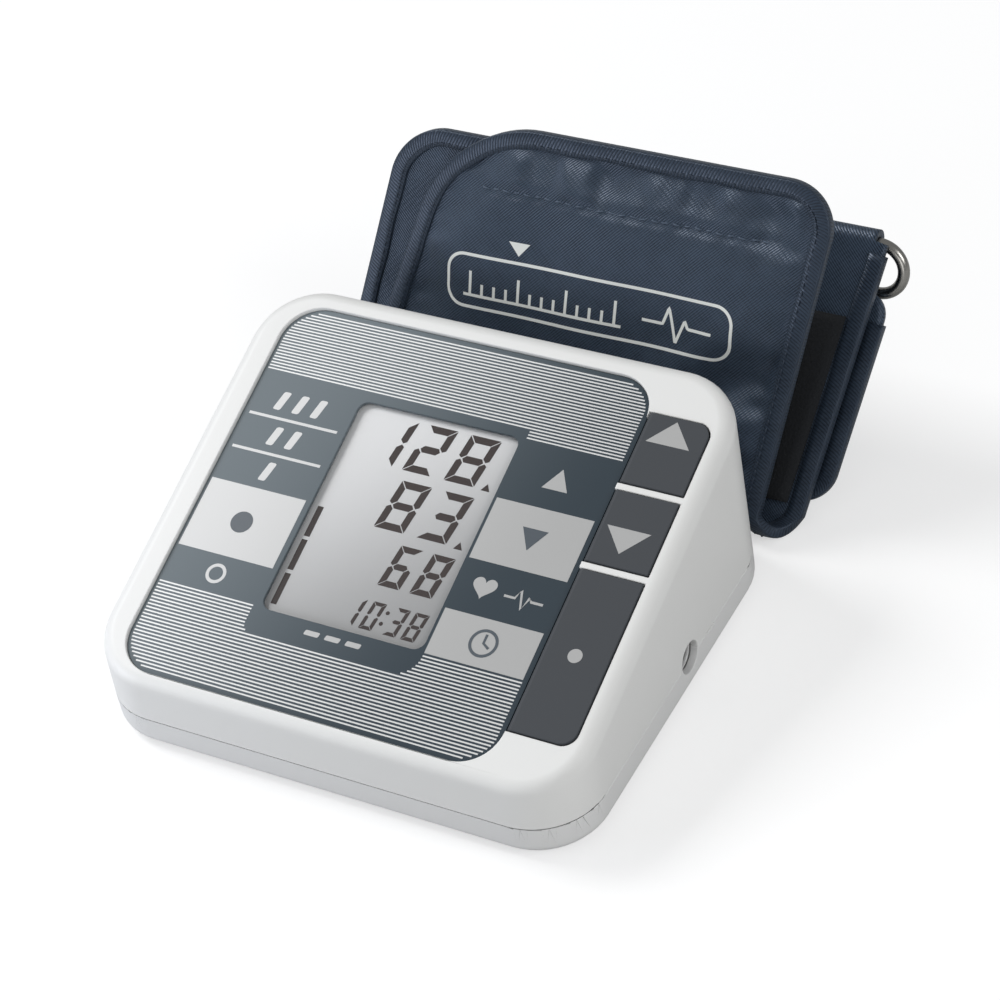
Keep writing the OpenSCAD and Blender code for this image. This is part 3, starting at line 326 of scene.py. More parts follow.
# Injection-moulded ABS from a fine-eroded mould: a satin white with a very fine grain, so that
# lamps spread into broad soft patches and never show as sharp spots.
case_white, tree, shader = finish("satin_white_moulded_abs", "#eeeeec", 0.42, 0.4)
grain(tree, shader, 2600, 0.5)

# The base is moulded from the same plastic, a touch greyer.
base_white, tree, shader = finish("satin_light_grey_moulded_abs", "#eaeae9", 0.45)
grain(tree, shader, 2600, 0.5)

# Keys: dark grey silicone-coated caps, matter than the case.
key_grey, tree, shader = finish("matt_dark_grey_key_plastic", "#4a4d51", 0.55, 0.15)
grain(tree, shader, 3400, 0.6)

# Printed film behind clear plastic: a slate tone, with painted shade deepening it from left to
# right.
film, tree, shader = finish("slate_printed_film", "#56616b", 0.45, 0.12)
painted_shade_ramp(tree, shader, PRINT_PAINTED_SHADE, "#767f84", "#37424a")

# White ink of the blocks, marks and fine lines, greyed by painted shade in the same direction.
ink_white, tree, shader = finish("white_screen_ink", "#f0f0ee", 0.4, 0.25)
painted_shade_ramp(tree, shader, PRINT_PAINTED_SHADE, "#e4e4e3", "#b4b4b3")
line_white, tree, shader = finish("white_screen_ink_lines", "#f4f4f2", 0.4, 0.25)
painted_shade_ramp(tree, shader, PRINT_PAINTED_SHADE, "#fbfbfa", "#dededd")
ink_dark = finish("slate_screen_ink", "#33404b", 0.4)[0]

# Liquid crystal glass over a grey reflector. Painted shade makes it bright at the top left
# and darker towards the front.
lcd, tree, shader = finish("reflective_display_glass", "#d0d0cf", 0.3, 0.2)
painted_shade_ramp(tree, shader, DISPLAY_PAINTED_SHADE, "#ffffff", "#adadad")
digit_ink = finish("dark_display_segments", "#443a37", 0.45, 0.2)[0]

# Clear acrylic over the display: nearly all light passes, and the surface keeps a faint shine.
window = finish("clear_acrylic_window", "#3a4046", 0.06, Alpha=0.06)[0]

# %% Inner parts, rubber and metal
# Bright wire mirrors the room in narrow streaks. The rest are plain, each with the shine of its
# own surface: gloss on a sleeve or a solder mask, matt on rubber.
steel = finish("bright_nickel_steel_wire", "#a9a7a2", 0.24, Metallic=1.0)[0]
black, soft_grey, clear_tube, board_green, cell_wrap, inner_white = (finish(*row)[0] for row in (
    ("black_moulded_plastic", "#17181a", 0.45), ("grey_tpu_rubber", "#6d7276", 0.6),
    ("milky_silicone_tube", "#d8d8d2", 0.4), ("green_solder_mask_board", "#1f5a3a", 0.35),
    ("printed_cell_sleeve", "#3a4a86", 0.3), ("natural_moulded_nylon", "#dcdad0", 0.5)))
print("plastics, inks and metals:", len(bpy.data.materials))

# %% [markdown]
# ## Cloth finish
#
# The cuff is coated nylon in a fine diagonal weave. Real yarns lie about 0.45 mm apart, which
# is under two pixels in this picture, so the weave is drawn at 0.9 mm. It is made from the
# piece's own flat coordinates in metres, so that it bends with the cloth: two families of
# yarns at right angles, each a row of short humps. The hump's height drives a bump, and the
# gaps between yarns are painted a little darker, as shade.

# %% The weave
# Pitch in metres, what the crossing yarns take of a hump's height, the dye's unevenness (cells
# in a metre, share), where the ramp's painted gap shade ends, and the strength of the bump.
PITCH, CROSSING, UNEVEN, UNEVEN_SHARE, GAP_SHADE_AT, BUMP = 0.0009, 0.35, 220.0, 0.5, 0.25, 0.7
# The coating shines a little blue, and loose fibres give a weak sheen at flat angles.
COATING = {"Specular Tint": colour("#bac6da"), "Sheen Weight": 0.1, "Sheen Roughness": 0.4,
           "Sheen Tint": colour("#a9b6c6")}


def weave(name, dark, light, depth):
    """Woven nylon over flat metres (u, v):
    height = |sin(pi (u + v) / p)| (0.65 + 0.35 |sin(pi (u - v) / 2p)|)."""
    material, tree, shader = finish(name, dark, 0.37, 0.9, **COATING)
    place = add(tree, "UVMap", uv_map="cloth").outputs[0]
    parts = add(tree, "SeparateXYZ", {0: place})
    waves = []
    for sign, length in ((1.0, PITCH), (-1.0, PITCH * 2)):
        way = maths(tree, "MULTIPLY_ADD", parts.outputs[1], sign, parts.outputs[0])
        turn = maths(tree, "MULTIPLY", way, math.pi / length)
        waves.append(maths(tree, "ABSOLUTE", maths(tree, "SINE", turn)))
    yarn = maths(tree, "MULTIPLY_ADD", waves[1], CROSSING, 1 - CROSSING)
    height = maths(tree, "MULTIPLY", waves[0], yarn)
    uneven = add(tree, "TexNoise", {"Vector": place, "Scale": UNEVEN, "Detail": 3.0})
    tone = maths(tree, "MULTIPLY_ADD", uneven.outputs[0], UNEVEN_SHARE, height)
    # Partly the dye's own uneven tone, partly painted shade: low ground between the humps takes the
    # dark colour.
    ramp = add(tree, "ValToRGB", {0: tone})
    ramp.color_ramp.elements[0].position = GAP_SHADE_AT
    for element, code in zip(ramp.color_ramp.elements, (dark, light)):
        element.color = colour(code)
    tree.links.new(ramp.outputs[0], shader.inputs["Base Color"])
    bump = add(tree, "Bump", {"Height": height, "Distance": depth, "Strength": BUMP})
    tree.links.new(bump.outputs[0], shader.inputs["Normal"])
    return material


# Cloth and tape share the weave; the tape's painted gap shade is bluer, its bump flatter. Thread
# and print are plain, and hook and loop is a deep matt pile.
nylon = weave("navy_coated_nylon_weave", "#07090d", "#3a4757", 0.00016)
tape_cloth = weave("navy_grosgrain_binding", "#0a0e13", "#2e3947", 0.0001)
thread, tape_thread, cloth_ink, bladder_skin = (finish(*row)[0] for row in (
    ("navy_polyester_thread", "#4c5a6c", 0.55), ("navy_polyester_thread_on_tape", "#2c3848", 0.6),
    ("white_rubber_print_on_cloth", "#eceeea", 0.6), ("dark_rubber_bladder", "#2a2c2f", 0.7)))
hook_cloth, tree, shader = finish("black_hook_and_loop", "#14171b", 0.9)
grain(tree, shader, 1500, distance=0.0004, detail=3.0)

# %% [markdown]
# ## Moulded shells
#
# The CAD solids have knife edges, where a real moulding has edges rounded by 0.2 to 0.4 mm
# that catch a thin line of light. A copy of each CAD mesh is welded, its flat faces joined,
# and every edge sharper than 35 degrees gets a small round, apart from the feather edge where
# a key's window meets the panel's seat. Where two mouldings meet, the two rounds make the thin
# shadow line of a real parting line.

# %% Softened copies
# Weld distance and the clear space round a feather edge in metres, the angle up to which faces
# count as one flat face, and the angle from which an edge is rounded.
WELD, CLEAR, FLAT, KNIFE = 2e-6, 0.0016, math.radians(0.4), math.radians(35)


def dress(mesh, material):
    """Gives a mesh this material and no other."""
    mesh.materials.clear()
    mesh.materials.append(material)


def moulded(node, body, material, width, sharp=None):
    """A copy of a CAD node with its sharp edges rounded, which stands for the node. Edges
    near the place called sharp stay as they are: a feather edge has no room."""
    mesh = frame["nodes"][node].data.copy()
    if "custom_normal" in mesh.attributes:
        mesh.attributes.remove(mesh.attributes["custom_normal"])
    work = bmesh.new()
    work.from_mesh(mesh)
    bmesh.ops.remove_doubles(work, verts=work.verts, dist=WELD)
    bmesh.ops.dissolve_limit(work, angle_limit=FLAT, verts=work.verts, edges=work.edges)
    weight = work.edges.layers.float.new("bevel_weight_edge")
    for e in work.edges:
        middle = (e.verts[0].co + e.verts[1].co) / 2
        free = sharp is None or (middle - Vector(sharp)).length > CLEAR
        knife = len(e.link_faces) == 2 and e.calc_face_angle() > KNIFE
        e[weight] = 1.0 if free and knife else 0.0
    for f in work.faces:
        f.smooth = True
    work.to_mesh(mesh)
    work.free()
    dress(mesh, material)
    made = put(node + "_moulded", mesh)
    edge = made.modifiers.new("edge", "BEVEL")
    edge.width = width * MM
    edge.segments = 2
    edge.limit_method = "WEIGHT"
    edge.use_clamp_overlap = False
    shade = made.modifiers.new("shade", "WEIGHTED_NORMAL")
    shade.keep_sharp = False
    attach(made, body)
    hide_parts(node)
    return made


shells = [
    moulded("top_case", "monitor", case_white, 0.3, sharp=face(46.9, 106.3, -0.4)),
    moulded("bottom_case", "monitor", base_white, 0.25),
    moulded("battery_cover", "battery_cover", base_white, 0.25),
    moulded("face_panel", "monitor", film, 0.12),
    *(moulded(key, key, key_grey, 0.2)
      for key in ("memory_key", "set_key", "start_key")),
]
print("softened copies:", [(s.name, len(s.data.polygons)) for s in shells])

# %% Finishes for the nodes shown as they are
plain = {
    window: ["display_window"],
    lcd: ["lcd_glass"],
    inner_white: ["lcd_holder", "pump_cradle", "air_manifold"],
    soft_grey: ["lcd_connectors", "rubber_feet", "bleed_valve", "cuff_air_port"],
    board_green: ["main_board"],
    steel: ["board_screws", "case_screws", "d_ring", "battery_springs", "battery_contacts"],
    black: ["control_chip", "buzzer", "pressure_sensor", "key_switches", "pump_head",
            "exhaust_valve", "air_socket", "power_jack", "pump_motor"],
    clear_tube: ["pump_tube", "socket_tube", "sensor_tube"],
    cell_wrap: ["battery_cells"],
}
for material, names in plain.items():
    for name in names:
        dress(frame["nodes"][name].data, material)
print("nodes with a plain finish:", sum(len(v) for v in plain.values()))

# %% [markdown]
# ## The printed panel
#
# The real panel is a film printed in slate with fine white lines across its upper and lower
# bands, and blocks of slate and white beside the display. Each print is a slab of ink 0.04 mm
# thick on the film, drawn from its outline, so its edges stay sharp at any distance.

# %% White lines and blocks
# One coat of ink and how far it is sunk into what it lies on. The panel's outline, the plain
# border round its lines, at the right end more, the height where the field below the display
# begins, and the lines' pitches above and below and the inked share of each.
INK, SINK = 0.04, 0.02
PANEL = dict(x0=-61.3, x1=47.0, s0=3.8, s1=115.77, r=11.0)
BORDER, RIGHT_BORDER, FIELD_S = 1.05, 1.5, 21.6
UPPER_PITCH, LOWER_PITCH, LINE_SHARE = 0.93, 0.98, 0.42


def slab(outline, n, coats=1):
    """A filled print on the plane at height n."""
    return prism(outline, face, n - SINK, n + INK * coats)


def drawn(line, width, n, coats=1, closed=False):
    """A line printed on the plane at height n."""
    return stroke(line, width, face, n - SINK, n + INK * coats, closed)


def across(s):
    """Left and right ends of a line at height s inside the panel's border: a round corner
    draws the ends in by r - sqrt(r^2 - d^2), with d how far s is into the corner."""
    r = PANEL["r"] - BORDER
    low, high = PANEL["s0"] + BORDER + r, PANEL["s1"] - BORDER - r
    d = max(low - s, s - high, 0.0)
    draw = r - math.sqrt(max(r * r - d * d, 0.0))
    return PANEL["x0"] + BORDER + draw, PANEL["x1"] - max(RIGHT_BORDER, BORDER + draw)


def line_band(s_low, s_high, pitch, x_from=-math.inf, x_to=math.inf, r=0.0):
    """Print lines from s_low to s_high. x_from or x_to stops them at the field below the
    display, whose lower corner has radius r."""
    parts, wide = [], pitch * LINE_SHARE
    for s in np.arange(s_low, s_high - wide, pitch):
        left, right = across(s + (wide if s > 60 else 0.0))
        d = min(max(FIELD_S + r - s - wide / 2, 0.0), r)
        bite = r - math.sqrt(r * r - d * d)
        left, right = max(left, x_from - bite), min(right, x_to + bite)
        parts.append(slab(rounded(left, s, right, s + wide), PANEL_N))
    return parts


def ink(name, parts, material, body="monitor"):
    """One piece from several slabs of ink."""
    vertices, faces = join(parts)
    return piece(name, vertices, faces, body, material, smooth=False)


lines = line_band(95.12, 115.0, UPPER_PITCH)
lines += line_band(92.33, 95.0, UPPER_PITCH, x_from=18.4)
lines += line_band(5.43, 21.7, LOWER_PITCH)
lines += line_band(22.09, 29.4, LOWER_PITCH, x_to=-31.9, r=3.0)
lines += line_band(22.09, 28.9, LOWER_PITCH, x_from=17.9, r=6.5)
ink("panel_lines", lines, line_white)

blocks = ((-60.2, 40.2, -31.6, 60.7), (17.9, 56.8, 45.4, 74.5), (17.9, 29.0, 45.4, 42.1),
          (-59.2, 81.0, -32.4, 81.8), (-59.2, 70.5, -32.4, 71.3))
ink("panel_blocks", [slab(rounded(*block), PANEL_N) for block in blocks], ink_white)
print("print lines:", len(lines), "blocks:", len(blocks))

# %% [markdown]
# ## Marks in place of words
#
# The fields beside the display hold plain generic marks: one to three bars for the steps of a
# scale, a ring for the lowest step, arrows for the upper and the lower reading, a heart for
# the pulse, and a clock face for the time.

# %% Marks on the panel


def turned(points, x, s, size=1.0, lean=0.0):
    """Points scaled, leaned to the right by lean per unit of height, and moved to (x, s)."""
    p = np.asarray(points, float) * size
    return np.stack([p[:, 0] + lean * p[:, 1] + x, p[:, 1] + s], axis=1)


def circle(radius, count=40):
    a = np.linspace(0, 2 * math.pi, count, endpoint=False)
    return np.stack([np.cos(a), np.sin(a)], axis=1) * radius


def heart(width):
    """x = 16 sin^3 t, y = 13 cos t - 5 cos 2t - 2 cos 3t - cos 4t, scaled to a width."""
    t = np.linspace(0, 2 * math.pi, 64, endpoint=False)
    x = 16 * np.sin(t) ** 3
    y = 13 * np.cos(t) - 5 * np.cos(2 * t) - 2 * np.cos(3 * t) - np.cos(4 * t)
    return np.stack([x, y], axis=1) * width / 32


def bar(w, h):
    """A short bar with round corners, a quarter of its smaller side."""
    return rounded(-w / 2, -h / 2, w / 2, h / 2, (min(w, h) * 0.25,) * 4, 4)


# Middles of the two columns of fields beside the display.
SCALE_X, NOTE_X = -46.0, 31.6
triangle = [(-1, -0.8), (1, -0.8), (0, 0.9)]
pulse = [(31.2, 49.2), (34.2, 49.2), (35.2, 51.6), (36.8, 46.6), (38.0, 50.2), (38.7, 49.2),
         (42.0, 49.2)]
white_marks = []
for count, s in ((3, 86.6), (2, 76.2), (1, 65.9)):
    for k in range(count):
        x = SCALE_X + (k - (count - 1) / 2) * 5.6
        white_marks.append(slab(turned(bar(2.2, 5.6), x, s, lean=0.22), PANEL_N))
white_marks += [
    drawn(turned(circle(2.4), SCALE_X, 34.9), 0.9, PANEL_N, closed=True),
    slab(turned(triangle, NOTE_X, 83.0, 3.6), PANEL_N),
    slab(turned(heart(6.6), 25.3, 50.0), PANEL_N),
    drawn(pulse, 0.7, PANEL_N),
    *(slab(turned(bar(4.2, 1.4), x, 26.0, lean=0.2), PANEL_N) for x in (-13.0, -7.0, -1.0))]
ink("marks_white", white_marks, ink_white)

# The dark marks lie on the white blocks, as a second coat.
dark_marks = [
    slab(turned(circle(3.1), SCALE_X, 50.4), PANEL_N, 2),
    slab(turned(triangle, NOTE_X, 65.6, -3.6), PANEL_N, 2),
    drawn(turned(circle(3.5), NOTE_X, 35.5), 0.8, PANEL_N, 2, closed=True),
    drawn([(NOTE_X, 38.0), (NOTE_X, 35.5), (33.4, 34.4)], 0.7, PANEL_N, 2)]
ink("marks_dark", dark_marks, ink_dark)
print("marks:", len(white_marks), "white,", len(dark_marks), "dark")

# %% [markdown]
# ## Marks on the keys
#
# An up arrow, a down arrow and a dot are pad-printed on the key caps. They ride on the keys,
# so they go down with them.

# %% Key marks
for key, outline in (("memory", [(49.6, 98.6), (61.6, 98.6), (55.6, 105.6)]),
                     ("set", [(49.6, 73.9), (55.6, 66.9), (61.6, 73.9)]),
                     ("start", turned(circle(1.9), 56.1, 38.0))):
    ink(key + "_mark", [slab(outline, KEY_N)], ink_white, key + "_key")

# %% [markdown]
# ## The display's segments
#
# Each digit is made of up to seven segments in a cell that leans to the right. A segment is a
# bar with ends cut at an angle, so that neighbours meet along thin light gaps.

# %% Digits
SEGMENTS = {"0": "abcdef", "1": "bc", "2": "abged", "3": "abgcd", "6": "afgedc", "8": "abcdefg"}


def segment(name, w, h, t, g):
    """Outline of one segment in a cell w wide and h high, t thick, with gaps g."""
    m = h / 2
    if name in "ad":
        p = [(g, h), (w - g, h), (w - t - g, h - t), (t + g, h - t)]
    elif name == "g":
        p = [(t * 0.6 + g, m), (t + g, m + t / 2), (w - t - g, m + t / 2),
             (w - t * 0.6 - g, m), (w - t - g, m - t / 2), (t + g, m - t / 2)]
    else:
        p = [(0, h - g), (t, h - t - g), (t, m + t * 0.5 + g), (t * 0.45, m + g),
             (0, m + t * 0.3 + g)]
    p = np.array(p, float)
    if name in "bc":
        p[:, 0] = w - p[:, 0]
    if name in "cde":
        p[:, 1] = h - p[:, 1]
    return p


def digit(sign, left, low, width, height, thick):
    """The lit segments of one sign, leaning, with the cell's low left corner at (left, low)."""
    gap = thick * 0.07 + 0.04
    return [slab(turned(segment(k, width, height, thick, gap), left, low, lean=0.135), GLASS_N)
            for k in SEGMENTS[sign]]


# Rows of digits: low end, height and thickness, then each sign with its left end and width.
shown = []
for low, height, thick, signs in (
        (76.4, 14.2, 2.0, (("1", -23.4, 9.0), ("2", -11.3, 8.4), ("8", 0.9, 8.8))),
        (59.2, 14.3, 2.0, (("8", -11.5, 8.7), ("3", 0.9, 8.6))),
        (44.0, 12.0, 1.7, (("6", -3.3, 6.4), ("8", 6.0, 6.4))),
        (31.5, 8.0, 1.0, (("1", -8.7, 4.0), ("0", -2.9, 3.7), ("3", 4.0, 3.7), ("8", 9.2, 3.9)))):
    for sign, left, width in signs:
        shown += digit(sign, left, low, width, height, thick)
shown += [slab(turned(circle(0.55, 16), x, s), GLASS_N) for x, s in ((3.05, 37.3), (2.55, 34.1))]
shown += [slab(turned(triangle, 13.1, s, 1.25), GLASS_N) for s in (77.1, 59.7)]
shown += [slab(rounded(-28.7, s0, -27.0, s1), GLASS_N)
          for s0, s1 in ((51.9, 60.9), (41.9, 50.9), (31.7, 40.8))]
ink("display_segments", shown, digit_ink)
print("segments and signs lit:", len(shown))

# %% [markdown]
# ## The folded cuff
#
# The cuff is one long strip of coated nylon. Its tail leans on the case, turns at a fold on
# the table, and goes up again behind, where it hangs on the wire ring. All its layers are
# given by two heights: u up a layer from the fold, and x across. The same formulas as in CAD
# give each layer's middle, and a ripple along its normal gives what cloth does: a slight
# belly, puckers where the binding gathers it, a groove along a seam, and soft diagonal folds.

# %% The cuff's profile
# The two leans, the fold's middle, radius, first angle and turn in degrees, the lengths, and
# the thicknesses of cloth and tape.
TAIL_LEAN, BACK_LEAN = math.radians(25), math.radians(38)
FOLD_Y, FOLD_Z, FOLD_R, FOLD_FROM, FOLD_TURN = 125.05, 6.65, 5.0, 155, 167
TAIL_LEN, BACK_LEN = 90.0, 74.0
CLOTH_T, TAPE_W, TAPE_T = 1.8, 4.0, 0.6
CORNER_L, CORNER_R = 26.0, 14.0
# Right end at the fold, width and slant of the tail and of the back.
TAIL_X, TAIL_W, TAIL_SLANT_L, TAIL_SLANT_R = 63.6, 123, 0.286, 0.156
BACK_X, BACK_W, BACK_SLANT = 72, 130, 0.13


def tail_left(u): return TAIL_X - TAIL_W + TAIL_SLANT_L * u
def tail_right(u): return TAIL_X + TAIL_SLANT_R * u
def back_right(u): return BACK_X + BACK_SLANT * u
def back_left(u): return back_right(u) - BACK_W


def draw_in(u, top, r):
    """How far a round corner of radius r draws a side in at height u: r - sqrt(r^2 - d^2)."""
    d = np.clip(np.asarray(u, float) - top + r, 0, r)
    return r - np.sqrt(np.maximum(r * r - d * d, 0))


def tail_ends(u):
    """Left and right end of the tail at height u, drawn in round its upper corners."""
    return (tail_left(u) + draw_in(u, TAIL_LEN, CORNER_L),
            tail_right(u) - draw_in(u, TAIL_LEN, CORNER_R))


def fold_ends(f):
    """Left and right end of the strip round the fold, f from 0 at the tail to 1 at the back."""
    left = tail_left(0) + (back_left(0) - tail_left(0)) * f
    return left, TAIL_X + (BACK_X - TAIL_X) * f


def fold_out(f):
    """Direction out of the fold at f."""
    a = np.radians(FOLD_FROM + f * FOLD_TURN)
    return np.stack([0 * a, np.cos(a), np.sin(a)], axis=-1)


def leaning(lean, way):
    """Places a point on the tail (way -1) or the back (way 1): x across, u up, and n out of
    its middle, to the front or to the rear."""
    c, s = math.cos(lean), math.sin(lean)

    def at(x, u, n):
        x, u, n = np.broadcast_arrays(np.asarray(x, float), u, n)
        y = FOLD_Y + way * FOLD_R * c + u * s + way * n * c
        z = FOLD_Z - way * FOLD_R * s + u * c - way * n * s
        return np.stack([x, y, z], axis=-1)
    return at


tail_at, back_at = leaning(TAIL_LEAN, -1), leaning(BACK_LEAN, 1)


def directions(place):
    """Up and out of a layer."""
    base = place(0.0, 0.0, 0.0)
    return place(0.0, 1.0, 0.0) - base, place(0.0, 0.0, 1.0) - base


def step01(t):
    """3 t^2 - 2 t^3 between 0 and 1."""
    t = np.clip(t, 0, 1)
    return t * t * (3 - 2 * t)


def bell(t):
    return np.exp(-t * t)


def near(d, at, width):
    """A bell round d = at."""
    return bell((d - at) / width)


def hump(t, start, length):
    """sin(pi f) with f from 0 at start to 1 a length further, and nothing outside."""
    return np.sin(math.pi * np.clip((t - start) / length, 0, 1))


# The seam's height and ends, and how far in from an edge the binding grips the cloth.
SEAM_U, SEAM_X0, SEAM_X1, GRIP = 73.6, -21.5, 62.0, 2.5


def tail_ripple(x, u):
    """How far the tail's cloth stands out of its flat form, in mm. It is a belly, puckers along
    the top and the sides, diagonal folds low on the right, and a groove along the seam; all
    fade to nothing under the binding. Each term is its height in mm, times a wave whose
    divisors are lengths in mm, times bells that say where it is."""
    x, u = np.broadcast_arrays(np.asarray(x, float), u)
    left, right = tail_ends(u)
    dl, dr, dt = x - left, right - x, TAIL_LEN - u
    edge = np.minimum(np.minimum(dl, dr), dt)
    puff = [1 - bell(np.maximum(d - GRIP, 0) / 9) for d in (dl, dr, dt)]
    belly = 1.9 * puff[0] * puff[1] * puff[2] * step01(u / 40)
    top = near(dt, 9, 7) * (0.8 * np.sin(x / 3.4 + 0.8 * np.sin(x / 9.0))
                            + 0.7 * np.sin(x / 5.9 + 1.7))
    side = (near(dl, 9, 7) * 0.7 * np.sin(u / 4.1 + 0.7)
            + near(dr, 9, 7) * 0.8 * np.sin(u / 3.6 + 2.0))
    top = top + near(dt, 6.5, 5) * 0.28 * np.sin(x / 1.25 + 1.3 * np.sin(x / 6.1))
    short = np.sin(u / 1.2 + np.sin(u / 5.3))
    side = side + (near(dl, 6.5, 4.5) + near(dr, 6.5, 4.5)) * 0.25 * short
    corner = bell(np.hypot(x + 36, u - 72) / 11) - 0.8 * bell(np.hypot(x - 62, u - 78) / 7)
    over_fold = (x - 52) * 0.62 - (u - 34) * 0.78
    fold = (-2.4 * bell(over_fold / 5.0) + 1.8 * near(over_fold, -11, 6)) * (
        near(x, 60, 22) * near(u, 36, 26))
    soft = 0.5 * np.sin(x / 7.7 + u / 12.3) * np.sin(u / 8.9 - x / 19.0 + 0.6)
    on_seam = step01((x - SEAM_X0 + 2) / 3) * step01((SEAM_X1 + 2 - x) / 3)
    from_seam = u - SEAM_U
    seam = (-0.5 * bell(from_seam) + 0.22 * near(from_seam, 2.8, 1.6)
            + 0.16 * near(from_seam, -2.8, 1.6)) * on_seam
    seam = seam * (1 + 0.5 * np.sin(x / 1.1) + 0.3 * np.sin(x / 2.9))
    inside = step01((edge - GRIP) / 5) * step01(u / 14)
    return (belly + top + side + corner + fold + soft) * inside + seam


print("tail", TAIL_LEN, "mm, back", BACK_LEN, "mm, ripple at the middle",
      round(float(tail_ripple(5, 45)), 2), "mm")

# %% Thick sheets


def sheet_mesh(middle, normal, thick):
    """Vertices and faces of a closed sheet round a grid of middle points (rows, columns, 3):
    two faces thick / 2 from the middle, and a rim of quads."""
    rows, columns = middle.shape[:2]
    thick = np.broadcast_to(np.asarray(thick, float), (rows, columns))[..., None] / 2
    grids = np.stack([middle + normal * thick, middle - normal * thick])
    count = rows * columns
    index = np.arange(count).reshape(rows, columns)
    rim = np.concatenate([index[0, :-1], index[:-1, -1], index[-1, :0:-1], index[:0:-1, 0]])
    after = np.roll(rim, -1)
    front = grid_faces(rows, columns)
    walls = np.stack([rim, after, after + count, rim + count], axis=1)
    return world(grids.reshape(-1, 3)), [front, front[:, ::-1] + count, walls]


def sheet_area(middle):
    """Area of a grid of points in mm^2: half the cross product of each cell's diagonals."""
    a = middle[1:, 1:] - middle[:-1, :-1]
    b = middle[1:, :-1] - middle[:-1, 1:]
    return float(np.linalg.norm(np.cross(a, b), axis=-1).sum() / 2)


def flat_uv(x, u):
    """Flat cloth coordinates in metres, for both faces of a sheet."""
    one = np.stack([x, u], axis=-1).reshape(-1, 2) * MM
    return np.concatenate([one, one])


def rows_up(start, top, r, count, turn=12):
    """Heights from start to top, closer together through a round corner of radius r."""
    a = np.radians(np.linspace(0, 90, turn + 1))[1:]
    return np.concatenate([np.linspace(start, top - r, count), top - r + r * np.sin(a)])


COLUMNS = 150


def spread(left, right, columns=COLUMNS):
    """x of evenly spaced points from left to right, a row for each height."""
    return left[:, None] + (right - left)[:, None] * np.linspace(0, 1, columns)


# %% The strip: tail, fold, back and hem
share = np.linspace(0, 1, COLUMNS)
tail_u = rows_up(0, TAIL_LEN, CORNER_L, 64, 30)[::-1]
tail_x = spread(*tail_ends(tail_u))
tail_grid = tail_at(tail_x, tail_u[:, None], tail_ripple(tail_x, tail_u[:, None]))
tail_out = [0, -math.cos(TAIL_LEAN), math.sin(TAIL_LEAN)]

turn = np.linspace(0, 1, 26)[1:-1]
fold_normal = fold_out(turn)[:, None].repeat(COLUMNS, 1)
fold_grid = np.array([0, FOLD_Y, FOLD_Z]) + FOLD_R * fold_normal
fold_grid[..., 0] = spread(*fold_ends(turn))

back_u = np.linspace(0, BACK_LEN, 60)
back_x = back_left(back_u)[:, None] + BACK_W * share
back_ripple = 0.3 * np.sin(back_x / 9 + back_u[:, None] / 14) * hump(back_u[:, None], 0, BACK_LEN)
back_grid = back_at(back_x, back_u[:, None], back_ripple)
back_up = np.array([0, math.sin(BACK_LEAN), math.cos(BACK_LEAN)])
back_out = np.array([0, math.cos(BACK_LEAN), -math.sin(BACK_LEAN)])

# A hem goes round the ring's wire, 1.6 mm in radius, with some slack.
SLACK = 0.3
HEM_R = 1.6 + CLOTH_T / 2 + SLACK
RING_X0, RING_X1 = -45.18, 78.42
over = np.radians(np.linspace(168, 0, 15))
inward = np.concatenate([over, [0]])[:, None]
hem_normal = (-np.sin(inward) * back_up - np.cos(inward) * back_out)[:, None].repeat(COLUMNS, 1)


def hem(x, top, lap, n=0.0):
    """Grids of x, height and points of a hem over a bar at height top, which comes down again
    by lap. n is where its own layer lies."""
    u = np.concatenate([top + HEM_R * np.sin(over), [top - lap]])[:, None]
    h = np.concatenate([n + HEM_R + HEM_R * np.cos(over), [n + 2 * HEM_R]])[:, None]
    points = back_at(x, u, h)
    return points[..., 0], np.broadcast_to(u, points.shape[:2]), points


hem_x = RING_X0 + SLACK + (RING_X1 - RING_X0 - 2 * SLACK) * share
hem_grid = hem(hem_x, BACK_LEN, 1)[2]
middle = np.concatenate([tail_grid, fold_grid, back_grid, hem_grid])
normal = np.concatenate([np.broadcast_to(tail_out, tail_grid.shape), fold_normal,
                         np.broadcast_to(back_out, back_grid.shape), hem_normal])
travel = travelled(middle[:, COLUMNS // 2])
vertices, faces = sheet_mesh(middle, normal, CLOTH_T)
cuff = piece("cuff_cloth", vertices, faces, "monitor", nylon,
             uv=flat_uv(middle[..., 0], travel[:, None].repeat(COLUMNS, 1)))
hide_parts("cuff_strip")

# %% [markdown]
# ## Layers behind
#
# A second flap stands behind the tail and shows at its left. Behind the back come the rubber
# bladder and the rear cloth, which swells over it and turns round the ring's lower bar. A
# patch of hooks faces the second flap, and a patch of loops lines the inside of the strip.

# %% Second flap, rear cloth and bladder


def layer(name, place, u, x0, x1, n, thick, material, slot, columns=70, ripple=None):
    """A sheet between x0(u) and x1(u) at height n, with an optional ripple(x, u)."""
    x = spread(x0, x1, columns)
    h = 0 if ripple is None else ripple(x, u[:, None])
    middle = place(x, u[:, None], n + h)
    normal = np.broadcast_to(directions(place)[1], middle.shape)
    vertices, faces = sheet_mesh(middle, normal, thick)
    made = piece(name, vertices, faces, "monitor", material,
                 uv=flat_uv(x, np.broadcast_to(u[:, None], x.shape)))
    return made, sheet_area(middle)


# The flap's place behind the tail, thickness, length, corner radius, foot and left slant.
UNDER_N, UNDER_T, UNDER_LEN, UNDER_R, UNDER_FOOT, UNDER_SLANT = 3.6, 1.6, 85.0, 13.0, 12.0, 0.2


def under_left(u): return TAIL_X - TAIL_W - 7.4 + UNDER_SLANT * u
def under_right(u): return tail_right(u) - 6


def under_ripple(x, u):
    """A low slanting wave that fades out at the left and at the top."""
    inside = step01((x - under_left(u) - 4) / 5) * step01((UNDER_LEN - u - 4) / 5)
    return 0.35 * np.sin(u / 4.0 + x / 9.0) * inside


